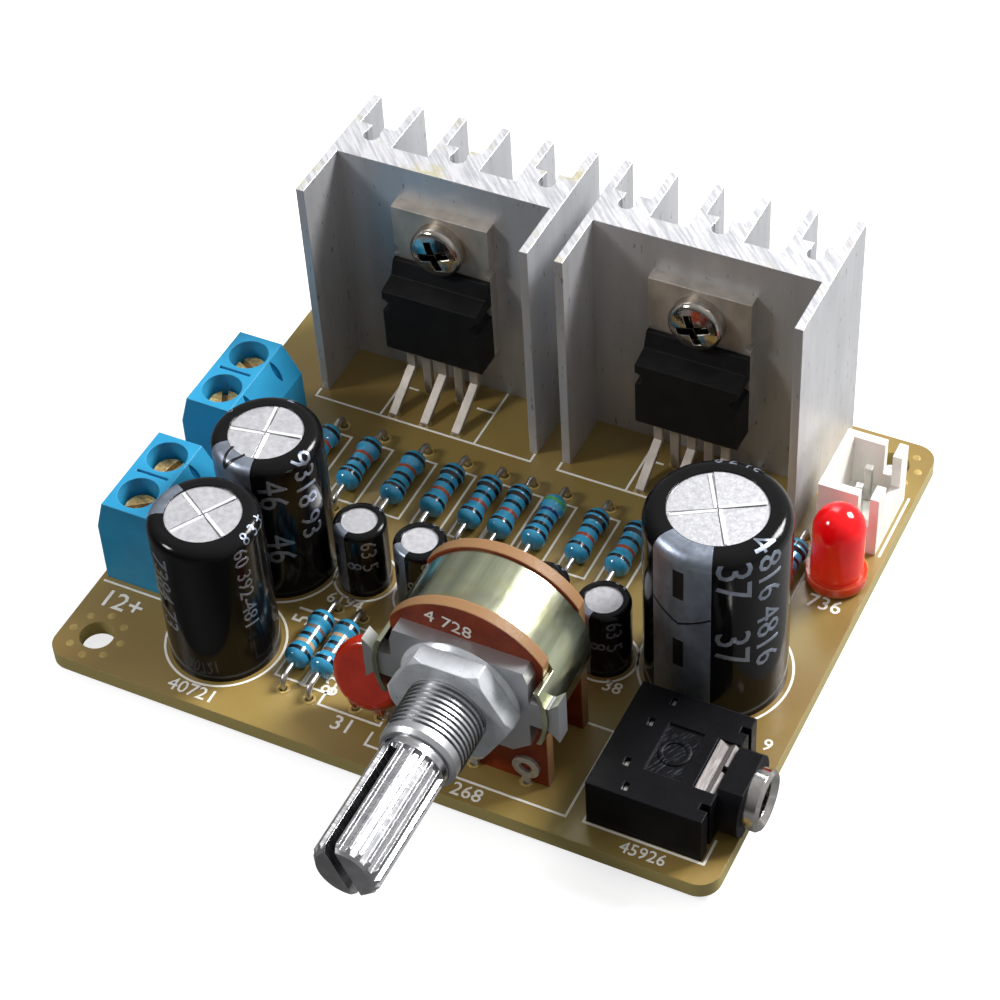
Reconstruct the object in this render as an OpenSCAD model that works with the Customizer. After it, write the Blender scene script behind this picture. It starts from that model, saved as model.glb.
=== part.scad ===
// Stereo audio amplifier board with two finned heatsinks, screw terminals,
// a volume control, an audio socket, a supply header and an indicator lamp.
// Origin: midway between the two mounting holes, on the board's underside.
// +X to the socket side, +Y to the heatsinks, +Z up. The volume shaft points to -Y.

/* [Board] */
// Length of the board along X
board_w = 65; // [64.5:0.1:66]
// Depth of the board along Y
board_d = 55.6; // [55.4:0.1:57]
// Thickness of the board
board_t = 1.6; // [1.2:0.1:2.0]
// Radius of the board's corners
board_corner = 2; // [1:0.25:3]
// Diameter of the two mounting holes
mount_hole_d = 3.2; // [2.8:0.1:3.4]
// Distance from a mounting hole's centre to the board's two edges
mount_inset = 3.5; // [3.2:0.1:3.8]
// Height of a solder joint under the board
solder_h = 1.2; // [0.8:0.1:1.8]
// Radius of a solder joint where it meets the board
solder_r = 0.95; // [0.8:0.05:1.05]

/* [Heatsinks] */
// Width of one heatsink
sink_w = 23.5; // [22:0.1:23.6]
// Depth of one heatsink, wing tip to fin tip
sink_d = 15.4; // [15:0.1:15.6]
// Height of one heatsink
sink_h = 25; // [22:0.5:30]
// Gap between the two heatsinks
sink_gap = 2.65; // [2:0.05:3.5]
// Thickness of a fin and of a wing
fin_t = 0.8; // [0.6:0.05:1]
// Thickness of the web that carries the fins
web_t = 2.3; // [2:0.1:2.6]
// Depth of the channel that holds the chip
channel_d = 6.5; // [6:0.1:6.8]
// Width of a screw groove between two fins
groove_w = 1.3; // [1:0.1:1.6]

/* [Amplifier chips] */
// Width of a chip
chip_w = 10; // [9.6:0.1:10.4]
// Height of the moulded body
chip_body_h = 9.4; // [9:0.1:9.8]
// Height of the moulded body's underside over the board
chip_lift = 5.8; // [5.4:0.1:6.2]
// Depth of the chip, tab included
chip_d = 4.5; // [4.2:0.1:4.8]
// Thickness of the metal tab
tab_t = 1.3; // [1.2:0.05:1.4]
// Height of the tab that shows above the body
tab_h = 6; // [5.6:0.1:6.4]
// Spacing of the five leads
lead_pitch = 1.7; // [1.6:0.05:1.75]
// How far the three long leads step forward
lead_step = 4.4; // [4:0.1:4.6]
// Diameter of the chip screw's shank
chip_screw_d = 3; // [2.6:0.1:3.2]
// Diameter of the chip screw's head
chip_screw_head_d = 5.3; // [5:0.1:5.6]

/* [Screw terminals] */
// Spacing of the two ways of a block
way_pitch = 5; // [5:0.02:5.08]
// Depth of a block
block_d = 7.55; // [7.5:0.05:7.8]
// Height of a block
block_h = 10; // [9.8:0.1:10.6]
// Diameter of the screw hole in a block's top
screw_hole_d = 3.8; // [3.7:0.05:3.9]
// Thread diameter of a clamp screw
clamp_screw_d = 2.5; // [2.4:0.05:2.6]
// How far a wire clamp rises
clamp_travel = 1.8; // [1.4:0.1:1.8]

/* [Volume control] */
// Height of the shaft's axis over the board
pot_axis_h = 11; // [10.6:0.1:11.4]
// Radius of the two wafers
wafer_r = 8.3; // [8.2:0.05:8.5]
// Width of a wafer's foot
wafer_foot_w = 14; // [13.6:0.1:14.2]
// Thickness of a wafer
wafer_t = 1.1; // [0.9:0.1:1.3]
// Length of the metal cover between the wafers
cover_l = 5.8; // [5.6:0.1:6.2]
// Radius of the metal cover
cover_r = 8.05; // [7.95:0.05:8.1]
// Diameter of the threaded bushing
bushing_d = 7; // [6.9:0.05:7.2]
// Length of the bushing in front of its plate
bushing_l = 8; // [7:0.25:9]
// Diameter of the shaft
shaft_d = 6; // [5.9:0.05:6]
// Length of the shaft in front of the bushing's plate
shaft_l = 20.3; // [18:0.1:25]
// Number of teeth on the knurl
knurl_teeth = 18; // [12:1:24]
// Radial running clearance of the shaft in the bushing
shaft_gap = 0.03; // [0.02:0.01:0.08]
// Width of the fixing nut across its flats
nut_af = 10; // [9.6:0.1:10.4]

/* [Audio socket] */
// Length of the socket's body along X
jack_w = 10.4; // [10.2:0.1:10.6]
// Depth of the socket's body along Y
jack_d = 11.9; // [11.7:0.1:12.1]
// Height of the socket's body
jack_h = 5.2; // [5.1:0.05:5.4]
// Diameter of the plug's bore
jack_bore_d = 3.6; // [3.5:0.05:3.7]
// Diameter of the metal ferrule
ferrule_d = 5.5; // [5.3:0.05:5.5]

/* [Supply header] */
// Length of the header along Y
header_l = 7.8; // [7.5:0.1:8]
// Depth of the header along X
header_d = 5.8; // [5.7:0.1:6]
// Height of the header
header_h = 7; // [6.8:0.1:7.4]
// Spacing of the header's pins
header_pitch = 2.5; // [2.4:0.02:2.54]

/* [Indicator lamp] */
// Diameter of the lamp's lens
lamp_d = 4.8; // [4.6:0.1:5]
// Diameter of the lens flange
lamp_flange_d = 5.6; // [5.5:0.1:5.8]
// Height of the lamp over the board
lamp_h = 9; // [8.6:0.1:10]

/* [Capacitors] */
// Diameter of the two medium capacitors
cap_m_d = 10; // [9.8:0.1:10.2]
// Height of the two medium capacitors
cap_m_h = 16.3; // [15:0.1:18]
// Diameter of the large capacitor
cap_l_d = 12.7; // [12.5:0.1:12.8]
// Height of the large capacitor
cap_l_h = 20; // [18:0.5:22]
// Diameter of the four small capacitors
cap_s_d = 4.9; // [4.8:0.1:5.2]
// Height of the four small capacitors
cap_s_h = 7.6; // [7:0.1:8]
// Thickness of a capacitor's sleeve
sleeve_t = 0.15; // [0.1:0.05:0.2]
// Diameter of the ceramic disc capacitor
disc_d = 7; // [6.4:0.1:7.2]
// Thickness of the ceramic disc capacitor
disc_t = 1.9; // [1.6:0.1:2.2]

/* [Resistors] */
// Length of a resistor's body
res_l = 6.3; // [6:0.1:6.6]
// Diameter of a resistor's end caps
res_d = 2.4; // [2.2:0.1:2.5]
// Spacing of a resistor's two holes
res_pitch = 10.2; // [9.8:0.1:10.4]
// Diameter of a wire lead
wire_d = 0.55; // [0.5:0.05:0.6]

/* [Hidden] */
$fn = 48;
eps = 0.01;
// Clearance between a lead and its hole in the board
lead_gap = 0.1;
// Clearance round a moving clamp
clamp_gap = 0.2;
// Height of the board's top face
top_z = board_t;
mount_x = board_w / 2 - mount_inset;
mount_y = board_d / 2 - mount_inset;
mount_holes = [[-mount_x, -mount_y], [mount_x, mount_y]];

// Heatsinks stand at the board's back edge, the right one beside the supply header
header_inset = 0.95;
header_gap = 2;
sink_right_x = board_w / 2 - header_inset - header_d - header_gap - sink_w / 2;
sink_x = [sink_right_x - sink_w - sink_gap, sink_right_x];
sink_y = board_d / 2 - sink_d;
sink_face_y = sink_y + channel_d;
fin_step = (sink_w - fin_t) / 5;
groove_floor = channel_d + web_t + 0.2;
groove_lip = channel_d + web_t + 2.4;
sink_pin_d = 1.2;
sink_pin_x = 2 * fin_step;
sink_pin_y = groove_floor + 0.8;

// Chips stand in the heatsinks' channels
tab_top = chip_lift + chip_body_h + tab_h;
chip_screw_z = tab_top - 3.3;
lead_w = 0.85;
lead_t = 0.5;
lead_depth = 2.7;
lead_bend_z = 2.8;
lead_x = [for (i = [-2:2]) i * lead_pitch];

// Screw terminals stand at the left edge, their wire entries facing it
block_x = -board_w / 2 + 0.55;
block_y = [-12.7, 2.2];
block_l = 2 * way_pitch;
screw_x = 3.46;
way_y = [for (b = block_y) for (s = [-1, 1]) b + s * way_pitch / 2];
clamp_w = 3.5;
clamp_d = 3.2;
clamp_h = 3.6;
clamp_wall = 0.6;
clamp_rest_z = 1;
strip_z = clamp_rest_z + clamp_wall + clamp_travel + 0.05;
strip_t = 0.4;
ledge_z = clamp_rest_z + clamp_h + clamp_travel + 0.1;
ledge_t = 0.5;
screw_head_d = 3.4;
screw_head_h = 1.3;
strip_leg_x = screw_x + clamp_d / 2 + 0.24;
entry_w = 3.3;
entry_h = 4.2;

// Volume control: distances along its axis count from the origin towards -Y
pot_x = 8.75;
pot_plate_front = 24.95;
pot_plate_t = 1.5;
front_wafer_at = pot_plate_front - pot_plate_t - wafer_t;
cover_at = front_wafer_at - cover_l;
rear_wafer_at = cover_at - wafer_t;
cover_t = 0.4;
arm_w = 6.4;
pot_washer_t = 0.5;
pot_nut_t = 1.9;
spindle_d = 4;
spindle_end = rear_wafer_at + 0.75;
rotor_r = 6.8;
rotor_t = 1.5;
front_rotor_at = cover_at + cover_l - 0.55 - rotor_t;
rear_rotor_at = cover_at + 0.55;
wiper_t = 0.25;
lug_x = [-5, 0, 5];
lug_t = 0.35;
lug_y = -9;
lug_pin_w = 0.8;
front_lug_at = pot_plate_front - pot_plate_t;
rear_lug_at = rear_wafer_at - lug_t;

// Audio socket: its plug bore runs along X, level with the board's right edge
jack_nose_l = 2.1;
ferrule_l = 1.4;
jack_front_x = board_w / 2 + 1.5;
jack_nose_x = jack_front_x - ferrule_l;
jack_x = jack_nose_x - jack_nose_l - jack_w;
jack_y = -board_d / 2 + 2.4 + jack_d / 2;
jack_axis_z = ferrule_d / 2;
jack_bore_end = jack_x + 2.7;
jack_window = [2, 5.6, 0.5];
jack_window_x = jack_x + jack_w - 0.1 - jack_window[0];
contact_t = 0.4;
contact_w = 0.8;
contact_from_axis = [[2.4, 2.15], [3.3, 4.95], [2.3, -2.55], [3.25, -4.95]];
contact_at = [for (p = contact_from_axis) [jack_x + p[0], jack_y + p[1]]];

// Supply header and lamp stand at the right edge
header_x = board_w / 2 - header_inset - header_d;
header_y = board_d / 2 - 11.25;
header_wall = 0.85;
header_floor = 1.6;
header_pin_x = header_x + 3.05;
header_pin_w = 0.64;
header_pin_top = 5.6;
lamp_at = [board_w / 2 - 3.15, header_y - header_l / 2 - 4.05];
lamp_lift = 0.4;
lamp_lead_w = 0.5;
lamp_pitch = 2.54;

// Capacitors: place, then the direction of the negative lead in degrees
cap_m_x = block_x + block_d + 6.45;
cap_m_at = [[cap_m_x, -20.05, 168], [cap_m_x, -9.15, 245]];
cap_l_at = [board_w / 2 - 9.1, -5.4, 232];
cap_s_at = [[-9.9, -8.3, 240], [-3.8, -8.3, 240], [8.2, -8.3, 240], [14.1, -8.25, 240]];
cap_at = concat(cap_m_at, [cap_l_at]);
cap_size = [[cap_m_d, cap_m_h], [cap_m_d, cap_m_h], [cap_l_d, cap_l_h]];
cap_m_pitch = 5;
cap_l_pitch = 5;
cap_s_pitch = 2;
bung_t = 1;
bung_lift = 0.3;
disc_at = [-2.2, -21.3];
disc_lean = 22;
disc_lift = 0.9;
disc_pitch = 2.54;
disc_leg_y = disc_at[1] - (disc_d / 2 - 0.5) * sin(disc_lean);

// Resistors lie along Y: a row behind the small capacitors, one by the lamp, two at the front
res_row_y = 3.4;
res_row_x = [-21.3, -16.8, -12.1, -7.9, -4, -0.9, 2.6, 7, 11];
res_apart = [[lamp_at[0] - 4.25, 7.1], [-10.4, -17.9], [-7.75, -18]];
res_at = concat([for (x = res_row_x) [x, res_row_y]], res_apart);
res_z = res_d / 2 + 0.1;
res_bend_r = 0.8;
res_cap_l = 1.8;

// Every lead that goes through the board: place and diameter
function ends(at, pitch, angle) =
    [for (s = [-1, 1]) [at[0] - s * pitch / 2 * cos(angle), at[1] - s * pitch / 2 * sin(angle)]];
function sized(points, d) = [for (p = points) [p[0], p[1], d]];
res_pins = [for (r = res_at) each ends(r, res_pitch, 90)];
cap_pins = concat(
    [for (c = cap_m_at) each ends(c, cap_m_pitch, c[2])],
    ends(cap_l_at, cap_l_pitch, cap_l_at[2]),
    [for (c = cap_s_at) each ends(c, cap_s_pitch, c[2])]
);
disc_pins = ends([disc_at[0], disc_leg_y], disc_pitch, 0);
lamp_pins = ends(lamp_at, lamp_pitch, 90);
header_pins = ends([header_pin_x, header_y], header_pitch, 90);
sink_pins = [for (x = sink_x) for (s = [-1, 1]) [x + s * sink_pin_x, sink_y + sink_pin_y]];
chip_pins = [for (x = sink_x) for (i = [0:4])
    [x + lead_x[i], sink_face_y - lead_depth - (i % 2 == 0 ? lead_step : 0)]];
strip_pins = [for (y = way_y) [block_x + strip_leg_x + strip_t / 2, y]];
lug_pins = [for (at = [front_lug_at, rear_lug_at]) for (x = lug_x) [pot_x + x, -at - lug_t / 2]];
pins = concat(
    sized(res_pins, wire_d),
    sized(cap_pins, wire_d),
    sized(disc_pins, wire_d),
    sized(lamp_pins, lamp_lead_w * sqrt(2)),
    sized(header_pins, header_pin_w * sqrt(2)),
    sized(sink_pins, sink_pin_d),
    sized(chip_pins, sqrt(lead_w * lead_w + lead_t * lead_t)),
    sized(strip_pins, 1),
    sized(lug_pins, sqrt(lug_pin_w * lug_pin_w + lug_t * lug_t)),
    sized(contact_at, sqrt(contact_w * contact_w + contact_t * contact_t))
);

side = ["left", "right"];

// Moves its children from the origin to the board's top face
module on_board(x = 0, y = 0) {
    translate([x, y, top_z])
        children();
}

// Square-edged box, centred in X and Y
module box(size) {
    translate([-size[0] / 2, -size[1] / 2, 0])
        cube(size);
}

// Rectangle with round corners
module rounded_rectangle(w, d, r) {
    square([w - 2 * r, d], center = true);
    square([w, d - 2 * r], center = true);
    for (x = [-1, 1])
        for (y = [-1, 1])
            translate([x * (w / 2 - r), y * (d / 2 - r)])
                circle(r = r);
}

// Board with its mounting holes and a hole for every lead
module circuit_board() {
    color("darkgoldenrod")
        difference() {
            linear_extrude(board_t)
                rounded_rectangle(board_w, board_d, board_corner);
            for (p = mount_holes)
                translate([p[0], p[1], -1])
                    cylinder(h = board_t + 2, d = mount_hole_d);
            for (p = pins)
                translate([p[0], p[1], -1])
                    cylinder(h = board_t + 2, d = p[2] + 2 * lead_gap);
        }
}

// Solder under the board, one cone for each lead
module solder_joints() {
    color("silver")
        for (p = pins)
            translate([p[0], p[1], -solder_h])
                cylinder(h = solder_h, r1 = 0.4, r2 = solder_r);
}

// Extruded section: two wings, a web, six fins and three screw grooves
module heatsink_section() {
    difference() {
        union() {
            for (i = [0:5])
                translate([-sink_w / 2 + i * fin_step, i == 0 || i == 5 ? 0 : channel_d])
                    square([fin_t, sink_d - (i == 0 || i == 5 ? 0 : channel_d)]);
            translate([-sink_w / 2, channel_d])
                square([sink_w, web_t]);
            for (i = [0, 2, 4])
                translate([-sink_w / 2 + i * fin_step, channel_d])
                    square([fin_step + fin_t, groove_lip - channel_d]);
        }
        for (i = [-2, 0, 2]) {
            translate([i * fin_step - groove_w / 2, groove_floor + 0.7])
                square([groove_w, sink_d]);
            translate([i * fin_step, groove_floor + 0.8])
                circle(r = 0.8);
        }
    }
}

module heatsink(i) {
    color("lightgray")
        on_board(sink_x[i], sink_y)
            difference() {
                linear_extrude(sink_h)
                    heatsink_section();
                translate([0, channel_d - 1, chip_screw_z])
                    rotate([-90, 0, 0])
                        cylinder(h = groove_lip - channel_d + 2, d = chip_screw_d + 0.1);
            }
}

// Pins in the outer grooves that hold the heatsinks to the board
module heatsink_pins() {
    color("silver")
        for (p = sink_pins)
            translate([p[0], p[1], 0])
                cylinder(h = top_z + 6, d = sink_pin_d);
}

// Moulded body: bevelled at its upper front, with a notch in each side
module chip_body(i) {
    color("black")
        on_board(sink_x[i], sink_face_y - tab_t)
            difference() {
                translate([-chip_w / 2, 0, chip_lift])
                    rotate([90, 0, 90])
                        linear_extrude(chip_w)
                            polygon([
                                [0, 0], [0, chip_body_h], [-0.5, chip_body_h],
                                [-1.1, chip_body_h - 1.5], [tab_t - chip_d, chip_body_h - 1.9],
                                [tab_t - chip_d, 0.5], [tab_t - chip_d + 0.4, 0]
                            ]);
                for (s = [-1, 1])
                    translate([s * chip_w / 2, tab_t - chip_d - 1, chip_lift + chip_body_h * 0.62])
                        rotate([-90, 0, 0])
                            cylinder(h = chip_d + 1, r = 0.7);
            }
}

// One lead, drawn from the body's underside to the board's underside
module chip_lead(step) {
    translate([-lead_w / 2, 0, 0])
        rotate([90, 0, 90])
            linear_extrude(lead_w)
                if (step == 0)
                    translate([-lead_t / 2, -board_t])
                        square([lead_t, chip_lift + board_t]);
                else
                    polygon([
                        [lead_t / 2, chip_lift], [lead_t / 2, lead_bend_z - 0.1],
                        [lead_t / 2 - step, 0.1], [lead_t / 2 - step, -board_t],
                        [-lead_t / 2 - step, -board_t], [-lead_t / 2 - step, 0.4],
                        [-lead_t / 2, lead_bend_z + 0.2], [-lead_t / 2, chip_lift]
                    ]);
}

// Metal tab with its screw hole, and the five leads
module chip_frame(i) {
    color("gainsboro")
        on_board(sink_x[i], sink_face_y) {
            difference() {
                translate([-chip_w / 2, -tab_t, chip_lift])
                    cube([chip_w, tab_t, tab_top - chip_lift]);
                translate([0, -tab_t - 1, chip_screw_z])
                    rotate([-90, 0, 0])
                        cylinder(h = tab_t + 2, d = chip_screw_d + 0.6);
                for (s = [-1, 1])
                    translate([s * chip_w / 2, -tab_t - 1, chip_lift + chip_body_h + 0.9])
                        rotate([-90, 0, 0])
                            cylinder(h = tab_t + 2, r = 0.5);
            }
            for (n = [0:4])
                translate([lead_x[n], -lead_depth, 0])
                    chip_lead(n % 2 == 0 ? lead_step : 0);
        }
}

// Half outline of a domed screw head
module screw_head_half(r) {
    rim_h = 0.9;
    rise = 0.9;
    edge_r = 0.6;
    flat_r = r - edge_r;
    dome_r = (flat_r * flat_r + rise * rise - edge_r * edge_r) / (2 * (rise - edge_r));
    meet_r = flat_r * dome_r / (dome_r - edge_r);
    square([r, rim_h]);
    intersection() {
        square([r, rim_h + rise]);
        translate([flat_r, rim_h])
            circle(r = edge_r, $fn = 48);
    }
    intersection() {
        square([meet_r, rim_h + rise]);
        translate([0, rim_h + rise - dome_r])
            circle(r = dome_r, $fn = 192);
    }
}

// Pan-head screws with a cross recess that hold the chips to the heatsinks
module heatsink_screws() {
    color("silver")
        for (x = sink_x)
            on_board(x, sink_face_y - tab_t)
                translate([0, 0, chip_screw_z])
                    rotate([90, 0, 0])
                        difference() {
                            union() {
                                translate([0, 0, -tab_t - 4.4])
                                    cylinder(h = tab_t + 4.4 + eps, d = chip_screw_d);
                                rotate_extrude()
                                    screw_head_half(chip_screw_head_d / 2);
                            }
                            for (a = [20, 110])
                                rotate([0, 0, a])
                                    translate([0, 0, 0.8])
                                        box([3.3, 0.85, 2]);
                        }
}

// Side outline of a terminal block, wire-entry side at x = 0
module block_section() {
    polygon([[0, 0], [0.14, 6.8], [1.1, block_h], [5.65, block_h], [block_d - 0.1, 6.9], [block_d, 0]]);
}

// Leaf-shaped opening where the clamp's chamber breaks through the sloping face
module leaf_slot() {
    translate([5.65, 0, block_h])
        rotate([0, -30, 0])
            translate([-1.5, 0, -1.35])
                rotate([0, 90, 0])
                    linear_extrude(2.5)
                        intersection() {
                            translate([0, 2])
                                circle(r = 2.35);
                            translate([0, -2])
                                circle(r = 2.35);
                        }
}

module terminal_block_housing(b) {
    chamber_x = screw_x - clamp_d / 2 - clamp_gap;
    color("steelblue")
        on_board(block_x, block_y[b])
            difference() {
                translate([0, block_l / 2, 0])
                    rotate([90, 0, 0])
                        linear_extrude(block_l)
                            block_section();
                for (s = [-1, 1])
                    translate([0, s * way_pitch / 2, 0]) {
                        translate([screw_x, 0, ledge_z + ledge_t])
                            cylinder(h = block_h, d = screw_hole_d);
                        translate([screw_x, 0, ledge_z - 1])
                            cylinder(h = block_h, d = clamp_screw_d + 0.4);
                        translate([chamber_x, -clamp_w / 2 - clamp_gap, clamp_rest_z - 0.1])
                            cube([
                                strip_leg_x + strip_t - chamber_x,
                                clamp_w + 2 * clamp_gap,
                                ledge_z - clamp_rest_z + 0.1
                            ]);
                        translate([-1, -entry_w / 2, clamp_rest_z - 0.1])
                            cube([screw_x, entry_w, entry_h]);
                        translate([strip_leg_x + strip_t / 2, 0, -1])
                            cylinder(h = 3, d = 1.1);
                        leaf_slot();
                    }
                translate([1.75, -0.16, block_h - 0.4])
                    cube([3.3, 0.32, 1]);
            }
}

// Fixed contact of each way: a strip through the clamp, a leg and a pin
module terminal_block_contacts(b) {
    color("silver")
        for (s = [-1, 1])
            on_board(block_x, block_y[b] + s * way_pitch / 2) {
                translate([screw_x - clamp_d / 2, -0.95, strip_z])
                    cube([strip_leg_x + strip_t - screw_x + clamp_d / 2, 1.9, strip_t]);
                translate([strip_leg_x, -0.95, clamp_rest_z - 0.1])
                    cube([strip_t, 1.9, strip_z + strip_t - clamp_rest_z + 0.1]);
                translate([strip_leg_x + strip_t / 2, 0, -board_t])
                    cylinder(h = board_t + clamp_rest_z, d = 1);
            }
}

// Clamp screw: slotted head on the block's ledge, shank in the clamp's top
module terminal_screw(w) {
    color("goldenrod")
        on_board(block_x + screw_x, way_y[w])
            difference() {
                union() {
                    translate([0, 0, strip_z + strip_t + 0.05])
                        cylinder(h = ledge_z + ledge_t - strip_z - strip_t, d = clamp_screw_d);
                    translate([0, 0, ledge_z + ledge_t])
                        cylinder(h = screw_head_h - 0.3, d = screw_head_d);
                    translate([0, 0, ledge_z + ledge_t + screw_head_h - 0.3])
                        cylinder(h = 0.3, d1 = screw_head_d, d2 = screw_head_d - 0.5);
                }
                translate([0, 0, ledge_z + ledge_t + screw_head_h - 0.75])
                    rotate([0, 0, 35 + 40 * w])
                        box([screw_head_d + 1, 0.6, 2]);
            }
}

// Clamp: a box open along X that the screw lifts against the fixed strip
module terminal_clamp(w) {
    window_h = strip_z + strip_t + 0.05 - clamp_rest_z - clamp_wall;
    color("gold")
        on_board(block_x + screw_x, way_y[w])
            translate([0, 0, clamp_rest_z])
                difference() {
                    box([clamp_d, clamp_w, clamp_h]);
                    translate([0, 0, clamp_wall])
                        box([clamp_d + 1, clamp_w - 2 * clamp_wall, window_h]);
                    cylinder(h = clamp_h + 1, d = clamp_screw_d + 0.12);
                    translate([0, 0, -1])
                        cylinder(h = clamp_wall + 1.01, d = 1);
                }
}

// Volume control's axis: local z runs to the front, local y runs up
module on_pot_axis(at = 0) {
    translate([pot_x, 0, top_z + pot_axis_h])
        rotate([90, 0, 0])
            translate([0, 0, at])
                children();
}

// Wafer outline: a round top on a straight foot, notched at its sides where arms pass
module wafer_section(hole_d, notched) {
    difference() {
        union() {
            intersection() {
                circle(r = wafer_r);
                square([wafer_foot_w, 3 * wafer_r], center = true);
            }
            translate([-wafer_foot_w / 2, -pot_axis_h])
                square([wafer_foot_w, pot_axis_h]);
        }
        circle(d = hole_d);
        if (notched)
            intersection() {
                square([6 * wafer_r, arm_w + 0.2], center = true);
                difference() {
                    circle(r = 3 * wafer_r);
                    circle(r = cover_r - cover_t - 0.1);
                }
            }
    }
}

module volume_front_wafer() {
    color("chocolate")
        on_pot_axis(front_wafer_at)
            linear_extrude(wafer_t)
                wafer_section(shaft_d + 0.8, true);
}

module volume_rear_wafer() {
    color("chocolate")
        on_pot_axis(rear_wafer_at)
            linear_extrude(wafer_t)
                wafer_section(spindle_d + 0.4, false);
}

// Cover: a tube between the wafers with an arm on each side round the plate's ears
module volume_cover() {
    arm_l = cover_l + wafer_t + pot_plate_t + 0.3;
    color("darkkhaki")
        on_pot_axis(cover_at)
            difference() {
                union() {
                    cylinder(h = cover_l, r = cover_r);
                    intersection() {
                        cylinder(h = arm_l, r = cover_r);
                        box([3 * cover_r, arm_w, arm_l]);
                    }
                }
                translate([0, 0, -1])
                    cylinder(h = arm_l + 2, r = cover_r - cover_t);
                translate([0, 0, cover_l + wafer_t - 0.1])
                    box([3 * cover_r, 3.1, pot_plate_t + 0.2]);
            }
}

// Outline of the bushing's plate with an ear on each side
module plate_section() {
    polygon([
        [-5.9, 4.8], [5.9, 4.8], [6.3, 3.6], [6.3, 1.4], [8.1, 1.4], [9, 2.4], [9, -2.4], [8.1, -1.4],
        [6.3, -1.4], [6.3, -4], [4.6, -5.4], [-4.6, -5.4], [-6.3, -4], [-6.3, -1.4], [-8.1, -1.4],
        [-9, -2.4], [-9, 2.4], [-8.1, 1.4], [-6.3, 1.4], [-6.3, 3.6]
    ]);
}

// Die-cast plate and bushing, bored for the shaft
module volume_bushing() {
    color("darkgray")
        on_pot_axis(pot_plate_front)
            difference() {
                union() {
                    translate([0, 0, -pot_plate_t])
                        linear_extrude(pot_plate_t)
                            plate_section();
                    cylinder(h = bushing_l - 0.4, d = bushing_d);
                    translate([0, 0, bushing_l - 0.4])
                        cylinder(h = 0.4, d1 = bushing_d, d2 = bushing_d - 0.5);
                }
                translate([0, 0, -pot_plate_t - 1])
                    cylinder(h = bushing_l + pot_plate_t + 2, d = shaft_d + 2 * shaft_gap);
            }
}

module volume_washer() {
    color("gainsboro")
        on_pot_axis(pot_plate_front)
            difference() {
                cylinder(h = pot_washer_t, d1 = nut_af + 1, d2 = nut_af + 0.3);
                translate([0, 0, -1])
                    cylinder(h = pot_washer_t + 2, d = bushing_d + 0.3);
            }
}

// Hexagon nut, its front corners turned off
module volume_nut() {
    corner_r = nut_af / 2 / cos(30);
    color("lightslategray")
        on_pot_axis(pot_plate_front + pot_washer_t)
            difference() {
                intersection() {
                    cylinder(h = pot_nut_t, r = corner_r, $fn = 6);
                    cylinder(h = pot_nut_t, r1 = corner_r + 1.5, r2 = corner_r - 0.45);
                }
                translate([0, 0, -1])
                    cylinder(h = pot_nut_t + 2, d = bushing_d + 0.1);
            }
}

// Knurl outline: flat-bottomed teeth round the shaft
module knurl_section() {
    tooth = 360 / knurl_teeth;
    crest_r = shaft_d / 2 - 0.04;
    root_r = crest_r - 0.3;
    polygon([for (i = [0:knurl_teeth - 1]) each [
        [root_r * cos((i - 0.28) * tooth), root_r * sin((i - 0.28) * tooth)],
        [crest_r * cos((i - 0.12) * tooth), crest_r * sin((i - 0.12) * tooth)],
        [crest_r * cos((i + 0.12) * tooth), crest_r * sin((i + 0.12) * tooth)],
        [root_r * cos((i + 0.28) * tooth), root_r * sin((i + 0.28) * tooth)]
    ]]);
}

// Shaft: spindle inside, journal in the bushing, knurled and slotted end outside
module volume_shaft() {
    knurl_at = pot_plate_front + bushing_l + 0.9;
    knurl_l = pot_plate_front + shaft_l - knurl_at;
    tip_r = shaft_d / 2 - 0.55;
    color("whitesmoke")
        on_pot_axis()
            difference() {
                union() {
                    translate([0, 0, spindle_end])
                        cylinder(h = front_wafer_at + 0.2 - spindle_end + eps, d = spindle_d);
                    translate([0, 0, front_wafer_at + 0.2])
                        cylinder(h = knurl_at - front_wafer_at - 0.2, d = shaft_d);
                    translate([0, 0, knurl_at - eps])
                        intersection() {
                            linear_extrude(knurl_l + eps)
                                knurl_section();
                            cylinder(h = knurl_l + eps, r1 = tip_r + 0.8 * knurl_l, r2 = tip_r);
                        }
                }
                rotate([0, 0, 113])
                    translate([0, 0, knurl_at + 0.3])
                        box([shaft_d + 1, 1, shaft_l]);
            }
}

// Rotors that carry the wipers, one for each wafer
module volume_rotors() {
    color("ivory")
        for (at = [front_rotor_at, rear_rotor_at])
            on_pot_axis(at)
                difference() {
                    cylinder(h = rotor_t, r = rotor_r);
                    translate([0, 0, -1])
                        cylinder(h = rotor_t + 2, d = spindle_d);
                }
}

module volume_wipers() {
    color("goldenrod")
        for (at = [front_rotor_at + rotor_t, rear_rotor_at - wiper_t])
            on_pot_axis(at)
                difference() {
                    cylinder(h = wiper_t, r = rotor_r - 0.8);
                    translate([0, 0, -1])
                        cylinder(h = wiper_t + 2, r = rotor_r - 2.2);
                    translate([0, rotor_r * 0.6, -1])
                        box([3 * rotor_r, 2 * rotor_r, wiper_t + 2]);
                }
}

// Lugs: an eyelet on the wafer's outer face and a pin down through the board
module volume_lugs() {
    color("silver")
        for (at = [front_lug_at, rear_lug_at])
            for (x = lug_x)
                on_pot_axis(at)
                    translate([x, lug_y, 0])
                        difference() {
                            union() {
                                cylinder(h = lug_t, r = 1.25);
                                translate([-lug_pin_w / 2, -pot_axis_h - board_t - lug_y, 0])
                                    cube([lug_pin_w, pot_axis_h + board_t + lug_y, lug_t]);
                            }
                            translate([0, 0, -1])
                                cylinder(h = lug_t + 2, r = 0.6);
                        }
}

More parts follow.
